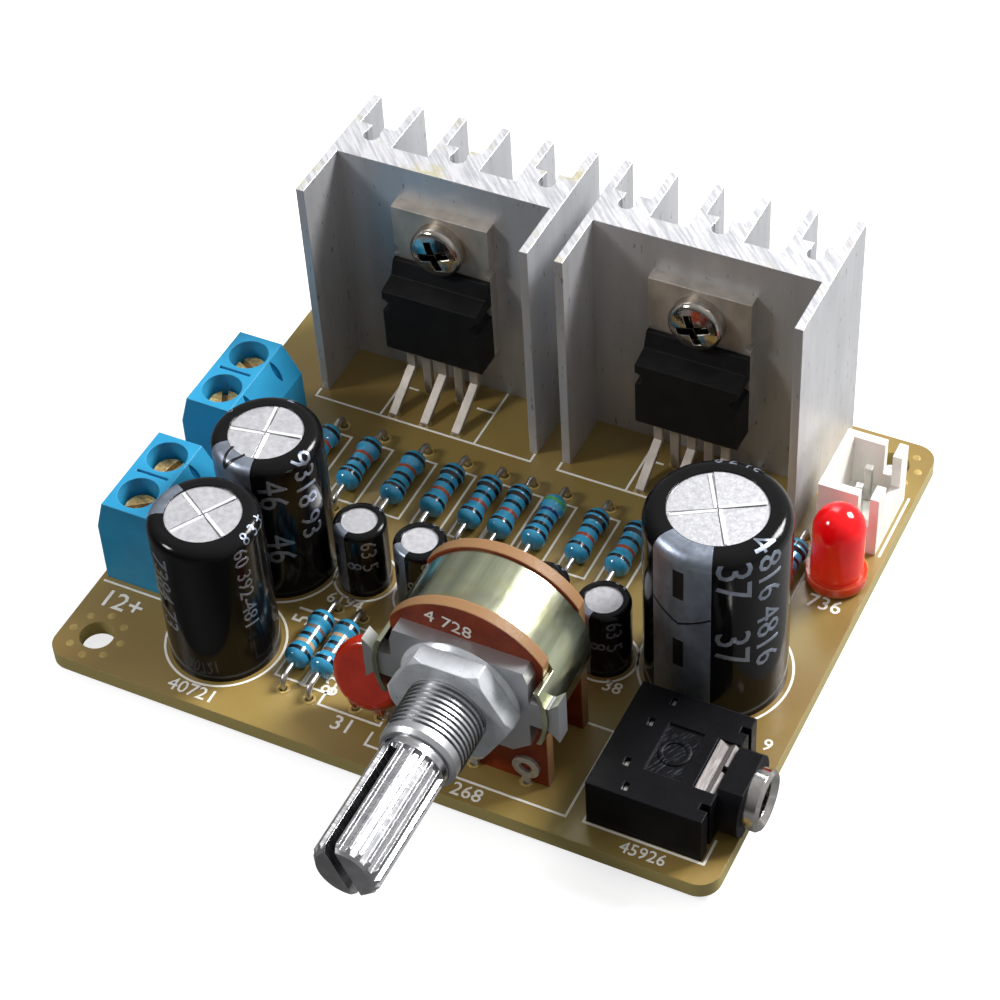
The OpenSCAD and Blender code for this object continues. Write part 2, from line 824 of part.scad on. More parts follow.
// Socket body: nose block, plug bore, clip window, contact slots and a shallow panel
module jack_housing() {
    nose_r = 3.6;
    color("black")
        difference() {
            union() {
                on_board(jack_x + jack_w / 2, jack_y)
                    box([jack_w, jack_d, jack_h]);
                intersection() {
                    on_board(jack_x + jack_w - 2, jack_y)
                        translate([0, 0, jack_axis_z])
                            rotate([0, 90, 0])
                                cylinder(h = jack_nose_x - jack_x - jack_w + 2, r = nose_r);
                    on_board(jack_x + jack_w, jack_y)
                        box([10, 10, jack_h + 0.3]);
                }
            }
            on_board(jack_bore_end, jack_y)
                translate([0, 0, jack_axis_z])
                    rotate([0, 90, 0])
                        cylinder(h = jack_front_x, d = jack_bore_d);
            on_board(jack_window_x, jack_y - jack_window[1] / 2)
                translate([0, 0, jack_h - jack_window[2]])
                    cube([jack_window[0], jack_window[1], 1]);
            on_board(jack_x + 3.9, jack_y - 2.7)
                translate([0, 0, jack_h - 0.2])
                    cube([3.2, 5.4, 1]);
            for (p = contact_at)
                on_board(p[0], p[1])
                    translate([0, 0, -1])
                        box([contact_t + 0.1, contact_w + 0.1, jack_h + 2]);
            for (s = [-1, 1])
                on_board(jack_x + jack_w, jack_y + s * (jack_d / 2 - 1.55))
                    translate([0.2, 0, -1])
                        box([2, 0.7, jack_h + 2]);
        }
}

module jack_ferrule() {
    color("lightgray")
        on_board(jack_nose_x, jack_y)
            translate([0, 0, jack_axis_z])
                rotate([0, 90, 0])
                    difference() {
                        union() {
                            cylinder(h = jack_front_x - jack_nose_x - 0.3, d = ferrule_d);
                            translate([0, 0, jack_front_x - jack_nose_x - 0.3])
                                cylinder(h = 0.3, d1 = ferrule_d, d2 = ferrule_d - 0.5);
                        }
                        translate([0, 0, -1])
                            cylinder(h = jack_front_x, d = jack_bore_d);
                        translate([0, 0, jack_front_x - jack_nose_x - 0.5])
                            cylinder(h = 1, d1 = jack_bore_d, d2 = jack_bore_d + 2);
                    }
}

// Earth clip that shows in the window: creased along its length, notched on its front edge
module jack_spring_clip() {
    clip_r = jack_window[0] / 2 - 0.05;
    color("white")
        on_board(jack_window_x + jack_window[0] / 2, jack_y)
            translate([0, 0, jack_h - jack_window[2]])
                difference() {
                    translate([0, jack_window[1] / 2 - 0.05, 0])
                        rotate([90, 0, 0])
                            linear_extrude(jack_window[1] - 0.1)
                                polygon([[-clip_r, 0], [clip_r, 0], [clip_r, 0.2], [0.5, 0.42],
                                         [0, 0.14], [0.1 - clip_r, 0.46], [-clip_r, 0.36]]);
                    translate([jack_window[0] / 2, 0, -1])
                        box([1.2, 0.7, 2]);
                }
}

// Contact blades: each fills a slot of the body and ends in a pin
module jack_contacts() {
    color("silver")
        for (p = contact_at)
            translate([p[0], p[1], 0])
                box([contact_t, contact_w, top_z + jack_h - 0.4]);
}

// Header: high wall inboard, slots in both ends, notched wall at the board's edge
module header_housing() {
    color("white")
        on_board(header_x, header_y - header_l / 2)
            difference() {
                cube([header_d, header_l, header_h]);
                translate([header_wall, header_wall, header_floor])
                    cube([header_d - 2 * header_wall, header_l - 2 * header_wall, header_h]);
                translate([header_d - header_wall - 1.1, -1, 3.4])
                    cube([1.1, header_l + 2, header_h]);
                translate([header_d - header_wall - eps, 1.9, 3.2])
                    cube([header_wall + 1, header_l - 3.8, header_h]);
                for (s = [-1, 1])
                    translate([header_pin_x - header_x, header_l / 2 + s * header_pitch / 2, -1])
                        box([header_pin_w + 0.06, header_pin_w + 0.06, header_floor + 2]);
            }
}

module header_pins_node() {
    color("gainsboro")
        for (p = header_pins)
            translate([p[0], p[1], 0])
                box([header_pin_w, header_pin_w, top_z + header_pin_top]);
}

// Lens with a flange at its foot and a domed top
module lamp_lens() {
    dome_r = lamp_d / 2;
    color("red")
        on_board(lamp_at[0], lamp_at[1])
            translate([0, 0, lamp_lift]) {
                difference() {
                    cylinder(h = 1, d = lamp_flange_d);
                    translate([0, lamp_d / 2 + 5.05, -1])
                        box([10, 10, 3]);
                }
                cylinder(h = lamp_h - lamp_lift - dome_r, d = lamp_d);
                translate([0, 0, lamp_h - lamp_lift - dome_r])
                    sphere(r = dome_r);
            }
}

module lamp_leads() {
    color("silver")
        for (p = lamp_pins)
            translate([p[0], p[1], 0])
                box([lamp_lead_w, lamp_lead_w, top_z + lamp_lift]);
}

// Half outline of a capacitor can with a rounded shoulder
module can_half(r, h, shoulder) {
    square([r - shoulder, h]);
    square([r, h - shoulder]);
    translate([r - shoulder, h - shoulder])
        intersection() {
            circle(r = shoulder);
            square(shoulder);
        }
}

// Aluminium can, its top scored with a cross where scored is true
module capacitor_can(at, d, h, scored) {
    r = d / 2 - sleeve_t;
    color("lightgray")
        on_board(at[0], at[1])
            difference() {
                translate([0, 0, bung_lift + bung_t])
                    rotate_extrude()
                        can_half(r, h - sleeve_t - bung_lift - bung_t, d * 0.1 - sleeve_t);
                if (scored)
                    for (a = [15, 105])
                        rotate([0, 0, a])
                            translate([0, 0, h - sleeve_t - 0.15])
                                box([d * 0.62, 0.25, 1]);
            }
}

// Shrunk sleeve: covers the side and turns in over the can's top and foot
module capacitor_sleeve(at, d, h) {
    color("black")
        on_board(at[0], at[1])
            rotate_extrude()
                difference() {
                    can_half(d / 2, h, d * 0.1);
                    translate([0, sleeve_t])
                        can_half(d / 2 - sleeve_t, h - 2 * sleeve_t, d * 0.1 - sleeve_t);
                    square([d * 0.34, 2 * h]);
                    square([d / 2 - 0.6, 1]);
                }
}

// The two medium capacitors and the large one
module large_capacitor_can(c) {
    capacitor_can(cap_at[c], cap_size[c][0], cap_size[c][1], true);
}

module large_capacitor_sleeve(c) {
    capacitor_sleeve(cap_at[c], cap_size[c][0], cap_size[c][1]);
}

module capacitor_bung(at, d) {
    on_board(at[0], at[1])
        translate([0, 0, bung_lift])
            cylinder(h = bung_t, r = d / 2 - sleeve_t);
}

module capacitor_bungs() {
    color("dimgray") {
        for (c = cap_m_at)
            capacitor_bung(c, cap_m_d);
        capacitor_bung(cap_l_at, cap_l_d);
        for (c = cap_s_at)
            capacitor_bung(c, cap_s_d);
    }
}

module capacitor_leads() {
    color("silver")
        for (p = cap_pins)
            translate([p[0], p[1], 0])
                cylinder(h = top_z + bung_lift, d = wire_d);
}

module small_capacitor_cans() {
    for (c = cap_s_at)
        capacitor_can(c, cap_s_d, cap_s_h, false);
}

module small_capacitor_sleeves() {
    for (c = cap_s_at)
        capacitor_sleeve(c, cap_s_d, cap_s_h);
}

// Half outline of a resistor: a waist between two domed end caps
module resistor_half() {
    dome_r = 0.9;
    edge_r = 0.4;
    translate([0, -res_l / 2 + dome_r])
        square([res_d / 2 - 0.2, res_l - 2 * dome_r]);
    for (m = [0, 1])
        mirror([0, m])
            translate([0, res_l / 2 - res_cap_l]) {
                square([res_d / 2 - edge_r, res_cap_l - dome_r]);
                square([res_d / 2 - dome_r, res_cap_l]);
                translate([0, edge_r])
                    square([res_d / 2, res_cap_l - dome_r - edge_r]);
                translate([res_d / 2 - edge_r, edge_r])
                    circle(r = edge_r);
                translate([res_d / 2 - dome_r, res_cap_l - dome_r])
                    intersection() {
                        circle(r = dome_r);
                        square(dome_r);
                    }
            }
}

module resistor_bodies() {
    color("deepskyblue")
        for (p = res_at)
            on_board(p[0], p[1])
                translate([0, 0, res_z])
                    rotate([90, 0, 0])
                        rotate_extrude()
                            resistor_half();
}

// Resistor leads: out of each end cap, round a bend and down through the board
module resistor_leads() {
    run = res_pitch / 2 - res_l / 2 - res_bend_r;
    color("silver")
        for (p = res_at)
            for (s = [0, 180])
                on_board(p[0], p[1])
                    rotate([0, 0, s])
                        translate([0, res_l / 2, res_z]) {
                            rotate([-90, 0, 0])
                                cylinder(h = run, d = wire_d);
                            translate([0, run, -res_bend_r])
                                rotate([90, 0, 90])
                                    rotate_extrude(angle = 90)
                                        translate([res_bend_r, 0])
                                            circle(d = wire_d);
                            translate([0, run + res_bend_r, -res_z - board_t])
                                cylinder(h = res_z + board_t - res_bend_r, d = wire_d);
                        }
}

// Dipped ceramic disc that leans back, its coating run down onto the legs
module disc_capacitor_body() {
    color("firebrick") {
        on_board(disc_at[0], disc_at[1])
            translate([0, 0, disc_lift + disc_d / 2 * cos(disc_lean)])
                rotate([90 - disc_lean, 0, 0])
                    translate([0, 0, -disc_t / 2])
                        rotate_extrude()
                            can_half_both(disc_d / 2, disc_t, disc_t * 0.45);
        for (p = disc_pins)
            on_board(p[0], p[1])
                translate([0, 0, disc_lift - 0.4])
                    cylinder(h = 1.7, d1 = wire_d + 0.15, d2 = wire_d + 1);
    }
}

// Half outline of a disc with both edges rounded
module can_half_both(r, h, edge) {
    square([r - edge, h]);
    translate([0, edge])
        square([r, h - 2 * edge]);
    for (y = [edge, h - edge])
        translate([r - edge, y])
            circle(r = edge);
}

module disc_capacitor_leads() {
    color("silver")
        difference() {
            for (p = disc_pins)
                translate([p[0], p[1], 0])
                    cylinder(h = top_z + disc_lift + 1, d = wire_d);
            disc_capacitor_body();
        }
}

circuit_board();
solder_joints();
for (i = [0:1]) {
    heatsink(i);
    chip_body(i);
    chip_frame(i);
}
heatsink_pins();
heatsink_screws();
for (b = [0:1]) {
    terminal_block_housing(b);
    terminal_block_contacts(b);
}
for (w = [0:3]) {
    terminal_screw(w);
    terminal_clamp(w);
}
volume_bushing();
volume_front_wafer();
volume_cover();
volume_rear_wafer();
volume_lugs();
volume_shaft();
volume_rotors();
volume_wipers();
volume_washer();
volume_nut();
jack_housing();
jack_ferrule();
jack_spring_clip();
jack_contacts();
header_housing();
header_pins_node();  // header_pins
lamp_lens();
lamp_leads();
for (c = [0:2]) {
    large_capacitor_can(c);
    large_capacitor_sleeve(c);
}
small_capacitor_cans();
small_capacitor_sleeves();
capacitor_bungs();
capacitor_leads();
resistor_bodies();
resistor_leads();
disc_capacitor_body();
disc_capacitor_leads();
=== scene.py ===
"""Dresses a packed audio amplifier board for rendering: finishes, print, bands, thread and studio."""

from __future__ import annotations

import logging
import math
from dataclasses import dataclass, field
from enum import Enum

import bmesh
import bpy
from mathutils import Matrix, Vector


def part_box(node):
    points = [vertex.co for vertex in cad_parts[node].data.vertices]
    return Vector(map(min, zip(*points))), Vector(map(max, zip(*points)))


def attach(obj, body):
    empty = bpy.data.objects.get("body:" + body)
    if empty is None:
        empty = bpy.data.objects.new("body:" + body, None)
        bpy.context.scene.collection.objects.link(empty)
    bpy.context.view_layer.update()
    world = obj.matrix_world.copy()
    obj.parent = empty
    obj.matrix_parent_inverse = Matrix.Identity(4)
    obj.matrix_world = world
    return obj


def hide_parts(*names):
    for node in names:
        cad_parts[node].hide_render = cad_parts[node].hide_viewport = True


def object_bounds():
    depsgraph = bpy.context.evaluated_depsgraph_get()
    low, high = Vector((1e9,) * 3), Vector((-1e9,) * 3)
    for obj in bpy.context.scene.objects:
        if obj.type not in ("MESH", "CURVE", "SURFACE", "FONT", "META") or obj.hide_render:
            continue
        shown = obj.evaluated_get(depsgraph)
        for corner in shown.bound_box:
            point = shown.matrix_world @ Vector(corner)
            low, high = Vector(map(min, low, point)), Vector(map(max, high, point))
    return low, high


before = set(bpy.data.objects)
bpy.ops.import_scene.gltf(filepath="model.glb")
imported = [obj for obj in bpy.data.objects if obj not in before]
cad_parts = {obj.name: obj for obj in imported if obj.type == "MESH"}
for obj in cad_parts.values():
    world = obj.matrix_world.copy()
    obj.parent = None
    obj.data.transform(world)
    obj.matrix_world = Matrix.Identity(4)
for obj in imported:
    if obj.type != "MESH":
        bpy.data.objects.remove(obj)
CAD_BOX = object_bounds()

LOG = logging.getLogger("amplifier_board")
MM = 0.001
TURN = 2 * math.pi
BOARD_TOP = 1.6
Size = tuple[float, float, float]
Point = tuple[float, float]
Stroke = tuple[float, float, float, float]
Tree = bpy.types.NodeTree
Socket = bpy.types.NodeSocket


def even(size: float) -> Size:
    """Gives a pattern the same size along X, Y and Z."""
    return (size, size, size)


def linear(colour: str) -> tuple[float, float, float, float]:
    """Turns an sRGB colour to the linear values that shaders take.

    Args:
        colour: Hex value such as "#a08c4a".

    Returns:
        Linear red, green, blue and an alpha of one.
    """
    parts = [int(colour[i:i + 2], 16) / 255 for i in (1, 3, 5)]
    lit = [c / 12.92 if c <= 0.04045 else ((c + 0.055) / 1.055) ** 2.4 for c in parts]
    return (*lit, 1.0)


def add(tree: Tree, kind: str, links: dict | None = None, **settings) -> bpy.types.Node:
    """Adds one shader node.

    Args:
        tree: Node tree that gets the node.
        kind: Node type without its "ShaderNode" start.
        links: Input name or number, with the socket to link or the value to set.
        settings: The node's own properties.

    Returns:
        The new node.
    """
    node = tree.nodes.new("ShaderNode" + kind)
    for name, value in settings.items():
        setattr(node, name, value)
    for key, value in (links or {}).items():
        if isinstance(value, Socket):
            tree.links.new(value, node.inputs[key])
        else:
            node.inputs[key].default_value = value
    return node


def pattern(tree: Tree, place: Socket, size_mm: Size, kind: str = "TexNoise",
            turn: Size = (0.0, 0.0, 0.0), **inputs: float) -> bpy.types.Node:
    """Adds a texture whose features have a real size.

    Args:
        tree: Node tree that gets the texture.
        place: Socket with Object coordinates.
        size_mm: Size of a feature along X, Y and Z.
        kind: Node type of the texture.
        turn: Turn of the pattern about X, Y and Z.
        inputs: Further values for the texture's own inputs.

    Returns:
        The texture node.
    """
    turned = add(tree, "Mapping", {"Vector": place, "Rotation": turn})
    scaled = add(tree, "Mapping", {"Vector": turned.outputs[0], "Scale": [1 / (s * MM) for s in size_mm]})
    return add(tree, kind, {"Vector": scaled.outputs[0], "Scale": 1.0, **inputs})


def over(tree: Tree, under: Socket | str, top: Socket | str, value: Socket, start: float, end: float,
         most: Socket | float = 1.0) -> Socket:
    """Lays a colour over another where a value has passed from a start to an end.

    Args:
        tree: Node tree that gets the nodes.
        under: Colour below, as a socket or a hex value.
        top: Colour above, as a socket or a hex value.
        value: Socket that decides.
        start: Value at which the upper colour begins.
        end: Value at which it has its full share.
        most: Full share of the upper colour.

    Returns:
        Socket with the colour.
    """
    share = add(tree, "MapRange", {"Value": value, "From Min": start, "From Max": end, "To Max": most})
    pair = {key: linear(c) if isinstance(c, str) else c for key, c in ((6, under), (7, top))}
    return add(tree, "Mix", {0: share.outputs[0], **pair}, data_type="RGBA").outputs[2]


def facing(tree: Tree, axis: int) -> Socket:
    """Gives the share of a face's true normal that lies along one axis."""
    return add(tree, "SeparateXYZ", {0: add(tree, "NewGeometry").outputs["Normal"]}).outputs[axis]


@dataclass(frozen=True)
class Surface:
    """A finish whose colour, gloss and fine relief vary over the surface.

    Attributes:
        name: The real material's common name and treatment.
        colour: Main sRGB colour.
        second: Colour that the mottling moves to.
        mottle_mm: Size of the mottling along X, Y and Z.
        rough: Lowest and highest roughness.
        grain_mm: Size of the fine relief along X, Y and Z.
        grain_depth_mm: Height of the fine relief.
        edge_mm: Radius over which edges catch the light.
        edge: Colour of rubbed edges, or nothing.
        sockets: Values that are the same all over, by shader socket.
    """

    name: str
    colour: str
    second: str
    mottle_mm: Size = even(5.0)
    rough: Point = (0.35, 0.5)
    grain_mm: Size = even(0.4)
    grain_depth_mm: float = 0.004
    edge_mm: float = 0.12
    edge: str = ""
    sockets: tuple[tuple[str, float], ...] = ()

    def material(self) -> bpy.types.Material:
        """Makes the material, or finds it when it is already made.

        Returns:
            The material.
        """
        made = bpy.data.materials.get(self.name)
        if made:
            return made
        made = bpy.data.materials.new(self.name)
        made.use_nodes = True
        tree = made.node_tree
        tree.nodes.clear()
        place = add(tree, "TexCoord").outputs["Object"]
        shader = add(tree, "BsdfPrincipled", dict(self.sockets))
        add(tree, "OutputMaterial", {"Surface": shader.outputs[0]})
        grain = pattern(tree, place, self.grain_mm, Detail=3.0).outputs[0]
        soft = add(tree, "Bevel", {"Radius": self.edge_mm * MM}, samples=4).outputs[0]
        paint = self.paint(tree, place)
        if self.edge:
            paint = self.rub(tree, paint, soft)
        gloss = add(tree, "MapRange", {"Value": grain, "From Min": 0.3, "From Max": 0.7,
                                       "To Min": self.rough[0], "To Max": self.rough[1]})
        relief = add(tree, "Bump", {"Height": self.relief(tree, place, grain),
                                    "Distance": self.grain_depth_mm * MM, "Normal": soft})
        drawn = {"Base Color": paint, "Roughness": gloss.outputs[0], "Normal": relief.outputs[0]}
        for name, socket in drawn.items():
            tree.links.new(socket, shader.inputs[name])
        return made

    def paint(self, tree: Tree, place: Socket) -> Socket:
        """Mixes the two colours by the mottling."""
        cloud = pattern(tree, place, self.mottle_mm, Detail=4.0)
        return over(tree, self.colour, self.second, cloud.outputs[0], 0.32, 0.68)

    def rub(self, tree: Tree, paint: Socket, soft: Socket) -> Socket:
        """Lightens the edges, where the softened normal leaves the true one.

        Args:
            tree: The material's node tree.
            paint: Colour without rubbed edges.
            soft: Normal softened over the edges.

        Returns:
            Socket with the colour.
        """
        true = add(tree, "NewGeometry").outputs["Normal"]
        apart = add(tree, "VectorMath", {0: soft, 1: true}, operation="DOT_PRODUCT")
        return over(tree, paint, self.edge, apart.outputs["Value"], 0.995, 0.86, 0.75)

    def relief(self, tree: Tree, place: Socket, grain: Socket) -> Socket:
        """Gives the height of the relief, which is the grain alone."""
        return grain


@dataclass(frozen=True)
class Laminate(Surface):
    """Glass-filled board: a golden resin over a woven sheet, paler where it is cut."""

    cut: str = "#b3a265"
    patch: str = "#847c46"
    patch_mm: Size = (16.0, 12.0, 9.0)
    weave_mm: float = 0.55
    # A wave repeats at 0.31 of its size, so this makes the weave nearly twice as coarse, to show at all
    weave_share: float = 6.0

    def paint(self, tree: Tree, place: Socket) -> Socket:
        """Mixes resin colours, greener patches and the pale cut edge.

        Args:
            tree: The material's node tree.
            place: Object coordinates.

        Returns:
            Socket with the colour.
        """
        cloud = pattern(tree, place, self.patch_mm, Detail=2.0)
        green = over(tree, Surface.paint(self, tree, place), self.patch, cloud.outputs[0], 0.5, 0.75, 0.6)
        flat = add(tree, "Math", {0: facing(tree, 2)}, operation="ABSOLUTE")
        return over(tree, green, self.cut, flat.outputs[0], 0.8, 0.4)

    def relief(self, tree: Tree, place: Socket, grain: Socket) -> Socket:
        """Adds the woven sheet's two thread directions.

        Args:
            tree: The material's node tree.
            place: Object coordinates.
            grain: The fine relief's height.

        Returns:
            Socket with the height.
        """
        size = even(self.weave_mm * self.weave_share)
        waves = [pattern(tree, place, size, "TexWave", (0.0, 0.0, turn), Distortion=0.4)
                 for turn in (0.0, math.pi / 2)]
        both = add(tree, "Math", {0: waves[0].outputs[1], 1: waves[1].outputs[1]}, operation="MULTIPLY")
        return add(tree, "Math", {0: both.outputs[0], 1: grain}, operation="ADD").outputs[0]


@dataclass(frozen=True)
class Sawn(Surface):
    """Extruded metal with drawn lines along Z and bright, sawn ends that face up."""

    sawn: str = "#e6e6ea"
    furrow: str = "#c3c4ca"
    stain: str = "#d3cba0"
    nick: str = "#4c4d50"
    saw_mm: float = 0.26
    saw_turn: float = -0.8
    nick_mm: Size = (0.35, 0.35, 1.6)
    stain_mm: Size = (3.5, 2.5, 4.0)
    upward: Point = (0.6, 0.9)

    def paint(self, tree: Tree, place: Socket) -> Socket:
        """Mixes drawn and nicked sides with bright, furrowed ends, stained most on the left.

        Args:
            tree: The material's node tree.
            place: Object coordinates.

        Returns:
            Socket with the colour.
        """
        flecks = pattern(tree, place, self.nick_mm, Detail=3.0)
        worn = over(tree, Surface.paint(self, tree, place), self.nick, flecks.outputs[0], 0.66, 0.72, 0.7)
        across = add(tree, "SeparateXYZ", {0: place}).outputs[0]
        most = add(tree, "MapRange", {"Value": across, "From Min": 4 * MM, "From Max": -2 * MM,
                                      "To Min": 0.15, "To Max": 0.75})
        cloud = pattern(tree, place, self.stain_mm, Detail=3.0)
        end = over(tree, self.sawn, self.furrow, self.marks(tree, place), 0.0, 1.0)
        stained = over(tree, end, self.stain, cloud.outputs[0], 0.55, 0.66, most.outputs[0])
        return over(tree, worn, stained, facing(tree, 2), *self.upward)

    def marks(self, tree: Tree, place: Socket) -> Socket:
        """Draws the saw's slanted furrows.

        Args:
            tree: The material's node tree.
            place: Object coordinates.

        Returns:
            Socket that is one in a furrow.
        """
        lines = pattern(tree, place, (self.saw_mm, self.saw_mm * 14, 8.0), turn=(0.0, 0.0, self.saw_turn),
                        Detail=2.0).outputs[0]
        return add(tree, "MapRange", {"Value": lines, "From Min": 0.42, "From Max": 0.64}).outputs[0]

    def relief(self, tree: Tree, place: Socket, grain: Socket) -> Socket:
        """Puts slanted saw marks on the ends and drawn lines elsewhere.

        Args:
            tree: The material's node tree.
            place: Object coordinates.
            grain: The fine relief's height.

        Returns:
            Socket with the height.
        """
        start, full = self.upward
        up = add(tree, "MapRange", {"Value": facing(tree, 2), "From Min": start, "From Max": full})
        return add(tree, "Mix", {0: up.outputs[0], 2: grain, 3: self.marks(tree, place)}).outputs[0]


@dataclass(frozen=True)
class Wafer(Surface):
    """Phenolic paper sheet: a red-brown pressed face and a paler punched edge."""

    cut: str = "#8d6a48"

    def paint(self, tree: Tree, place: Socket) -> Socket:
        """Mixes the pressed face with the punched edge, by the way a face points."""
        flat = add(tree, "Math", {0: facing(tree, 1)}, operation="ABSOLUTE")
        return over(tree, Surface.paint(self, tree, place), self.cut, flat.outputs[0], 0.8, 0.4)


@dataclass(frozen=True)
class Chromate(Surface):
    """Passivated zinc: a metal whose thin film drifts from straw to green and pink."""

    straw: str = "#c0b878"
    pink: str = "#a8a294"

    def paint(self, tree: Tree, place: Socket) -> Socket:
        """Mixes the film's colours by slow drifts.

        Args:
            tree: The material's node tree.
            place: Object coordinates.

        Returns:
            Socket with the colour.
        """
        film = Surface.paint(self, tree, place)
        for size, colour in (((7.0, 3.0, 5.0), self.straw), ((5.0, 2.5, 3.5), self.pink)):
            film = over(tree, film, colour, pattern(tree, place, size, Detail=1.0).outputs[0], 0.5, 0.72, 0.6)
        return film


@dataclass(frozen=True)
class Recessed(Surface):
    """Plated screw heads, all on one plane, with painted shade deep in their cross recesses.

    Attributes:
        middle_mm: Middle between the two heads, on the plane of their tops.
        apart_mm: Distance of each head's axis from that middle, along X.
        reach_mm: Radius of the recess.
        head_mm: Depth below the plane at which a head ends.
        recess_shade: Colour of the painted shade deep in the recess.
    """

    middle_mm: Size = (-1.075, 15.845, 19.5)
    apart_mm: float = 13.075
    reach_mm: float = 1.75
    head_mm: float = 1.8
    recess_shade: str = "#2b241e"

    def paint(self, tree: Tree, place: Socket) -> Socket:
        """Paints shade over what lies inside the recess, darker the deeper it lies.

        Args:
            tree: The material's node tree.
            place: Object coordinates.

        Returns:
            Socket with the colour.
        """
        moved = add(tree, "VectorMath", {0: place, 1: [v * MM for v in self.middle_mm]}, operation="SUBTRACT")
        x, y, z = add(tree, "SeparateXYZ", {0: moved.outputs[0]}).outputs
        side = add(tree, "Math", {0: add(tree, "Math", {0: x}, operation="ABSOLUTE").outputs[0],
                                  1: self.apart_mm * MM}, operation="SUBTRACT")
        flat = add(tree, "CombineXYZ", {0: side.outputs[0], 2: z})
        out = add(tree, "VectorMath", {0: flat.outputs[0]}, operation="LENGTH").outputs["Value"]
        inside = 1.0
        for value, limit, fade in ((out, self.reach_mm, 0.1), (y, self.head_mm, 0.2)):
            inside = add(tree, "MapRange", {"Value": value, "From Min": (limit + fade) * MM,
                                            "From Max": limit * MM, "To Max": inside}).outputs[0]
        # Painted shade: darkest where a point lies deepest in the recess
        return over(tree, Surface.paint(self, tree, place), self.recess_shade, y, 0.24 * MM, 0.6 * MM, inside)


@dataclass(frozen=True)
class Scuffed(Surface):
    """Black moulding with fine scuffs on one panel of its top.

    Attributes:
        low_mm: Lowest corner of the panel, along X and Y.
        high_mm: Highest corner of the panel, along X and Y.
        fade_mm: Width over which the scuffs fade out at the panel's rim.
        scuff_mm: Size of a scuff along X, Y and Z.
        scuff: Colour of a scuff.
    """

    low_mm: Point = (23.9, -22.15)
    high_mm: Point = (27.3, -16.75)
    fade_mm: float = 0.3
    scuff_mm: Size = (0.12, 1.1, 1.0)
    scuff: str = "#43454b"

    def paint(self, tree: Tree, place: Socket) -> Socket:
        """Scratches the panel lightly.

        Args:
            tree: The material's node tree.
            place: Object coordinates.

        Returns:
            Socket with the colour.
        """
        inside = 1.0
        for axis, socket in enumerate(add(tree, "SeparateXYZ", {0: place}).outputs[:2]):
            for edge, way in ((self.low_mm[axis], self.fade_mm), (self.high_mm[axis], -self.fade_mm)):
                inside = add(tree, "MapRange", {"Value": socket, "From Min": edge * MM,
                                                "From Max": (edge + way) * MM, "To Max": inside}).outputs[0]
        lines = pattern(tree, place, self.scuff_mm, turn=(0.0, 0.0, 0.5), Detail=4.0)
        return over(tree, Surface.paint(self, tree, place), self.scuff, lines.outputs[0], 0.56, 0.72, inside)


@dataclass(frozen=True)
class Lens(Surface):
    """Tinted clear resin that looks lighter toward its base, where more light comes in.

    Attributes:
        base: Colour at the base.
        rise_mm: Heights between which the colour changes.
    """

    base: str = "#f8401f"
    rise_mm: Point = (2.0, 8.5)

    def paint(self, tree: Tree, place: Socket) -> Socket:
        """Mixes the base's colour in by height.

        Args:
            tree: The material's node tree.
            place: Object coordinates.

        Returns:
            Socket with the colour.
        """
        height = add(tree, "SeparateXYZ", {0: place}).outputs[2]
        low, high = (v * MM for v in self.rise_mm)
        return over(tree, Surface.paint(self, tree, place), self.base, height, high, low)


METAL = (("Metallic", 1.0),)
# Glass-epoxy board: golden resin, satin, so its weave shows only as a faint shimmer
LAMINATE = Laminate("glass_epoxy_laminate", "#947e47", "#7e6532", (22.0, 16.0, 10.0), (0.28, 0.4),
                    even(0.3), 0.004, 0.1, "", (("IOR", 1.5),))
# Screen-printed epoxy ink: dead white, a little uneven
PRINT = Surface("screen_printed_white_ink", "#f6f4ec", "#e6e2d6", even(1.2), (0.5, 0.65),
                even(0.2), 0.004, 0.01)
# Tinned eyelet round a lead hole: tan from flux
FLUX = Surface("fluxed_eyelet_resin", "#b59c5c", "#9a8044", even(0.8), (0.2, 0.35),
               even(0.3), 0.01, 0.05)
# Tin-lead solder: bright, slightly frosted
SOLDER = Surface("tin_lead_solder", "#c9cacb", "#b2b3b5", even(0.8), (0.16, 0.32),
                 even(0.35), 0.01, 0.05, "", METAL)
# Raw extruded aluminium: grey drawn lines, bright sawn ends
EXTRUSION = Sawn("raw_extruded_aluminium", "#cfd0d3", "#bdbec1", (3.0, 3.0, 16.0), (0.36, 0.5),
                 (0.35, 0.35, 14.0), 0.006, 0.12, "#e4e5e8", (("Metallic", 0.6),))
# Tinned copper and steel: soft grey shine with faint draw lines
TIN = Surface("tinned_copper", "#cac8c3", "#aeaca6", (1.2, 1.2, 2.0), (0.26, 0.42), (0.2, 0.2, 0.9),
              0.006, 0.06, "", METAL)
# Tinned chip tab: warm grey and dull, with a rolled grain along its height
TAB = Surface("tinned_copper_tab", "#cfc6bb", "#b3aba1", (1.6, 1.6, 3.0), (0.42, 0.56), (0.2, 0.2, 1.6),
              0.008, 0.15, "#ddd7cd", (("Metallic", 0.7),))
# Tinned rivets and lugs of the wafer: frosted and bright
LUGS = Surface("tinned_brass_rivet", "#d9d9d8", "#bcbcba", even(0.5), (0.3, 0.45), even(0.2),
               0.02, 0.08, "#f2f2f2", (("Metallic", 0.6),))
# Nickel-plated steel: warm mirror with a fine haze
NICKEL = Surface("nickel_plated_steel", "#d8d5d1", "#bdb9b4", even(1.0), (0.1, 0.22),
                 even(0.3), 0.004, 0.1, "", METAL)
# Nickel-plated chip screws: the same plate, with painted shade in the recesses
HEADS = Recessed("nickel_plated_pan_head", "#d2ccc4", "#b4ada4", even(1.0), (0.1, 0.2),
                 even(0.3), 0.004, 0.12, "#f4f1ec", METAL)
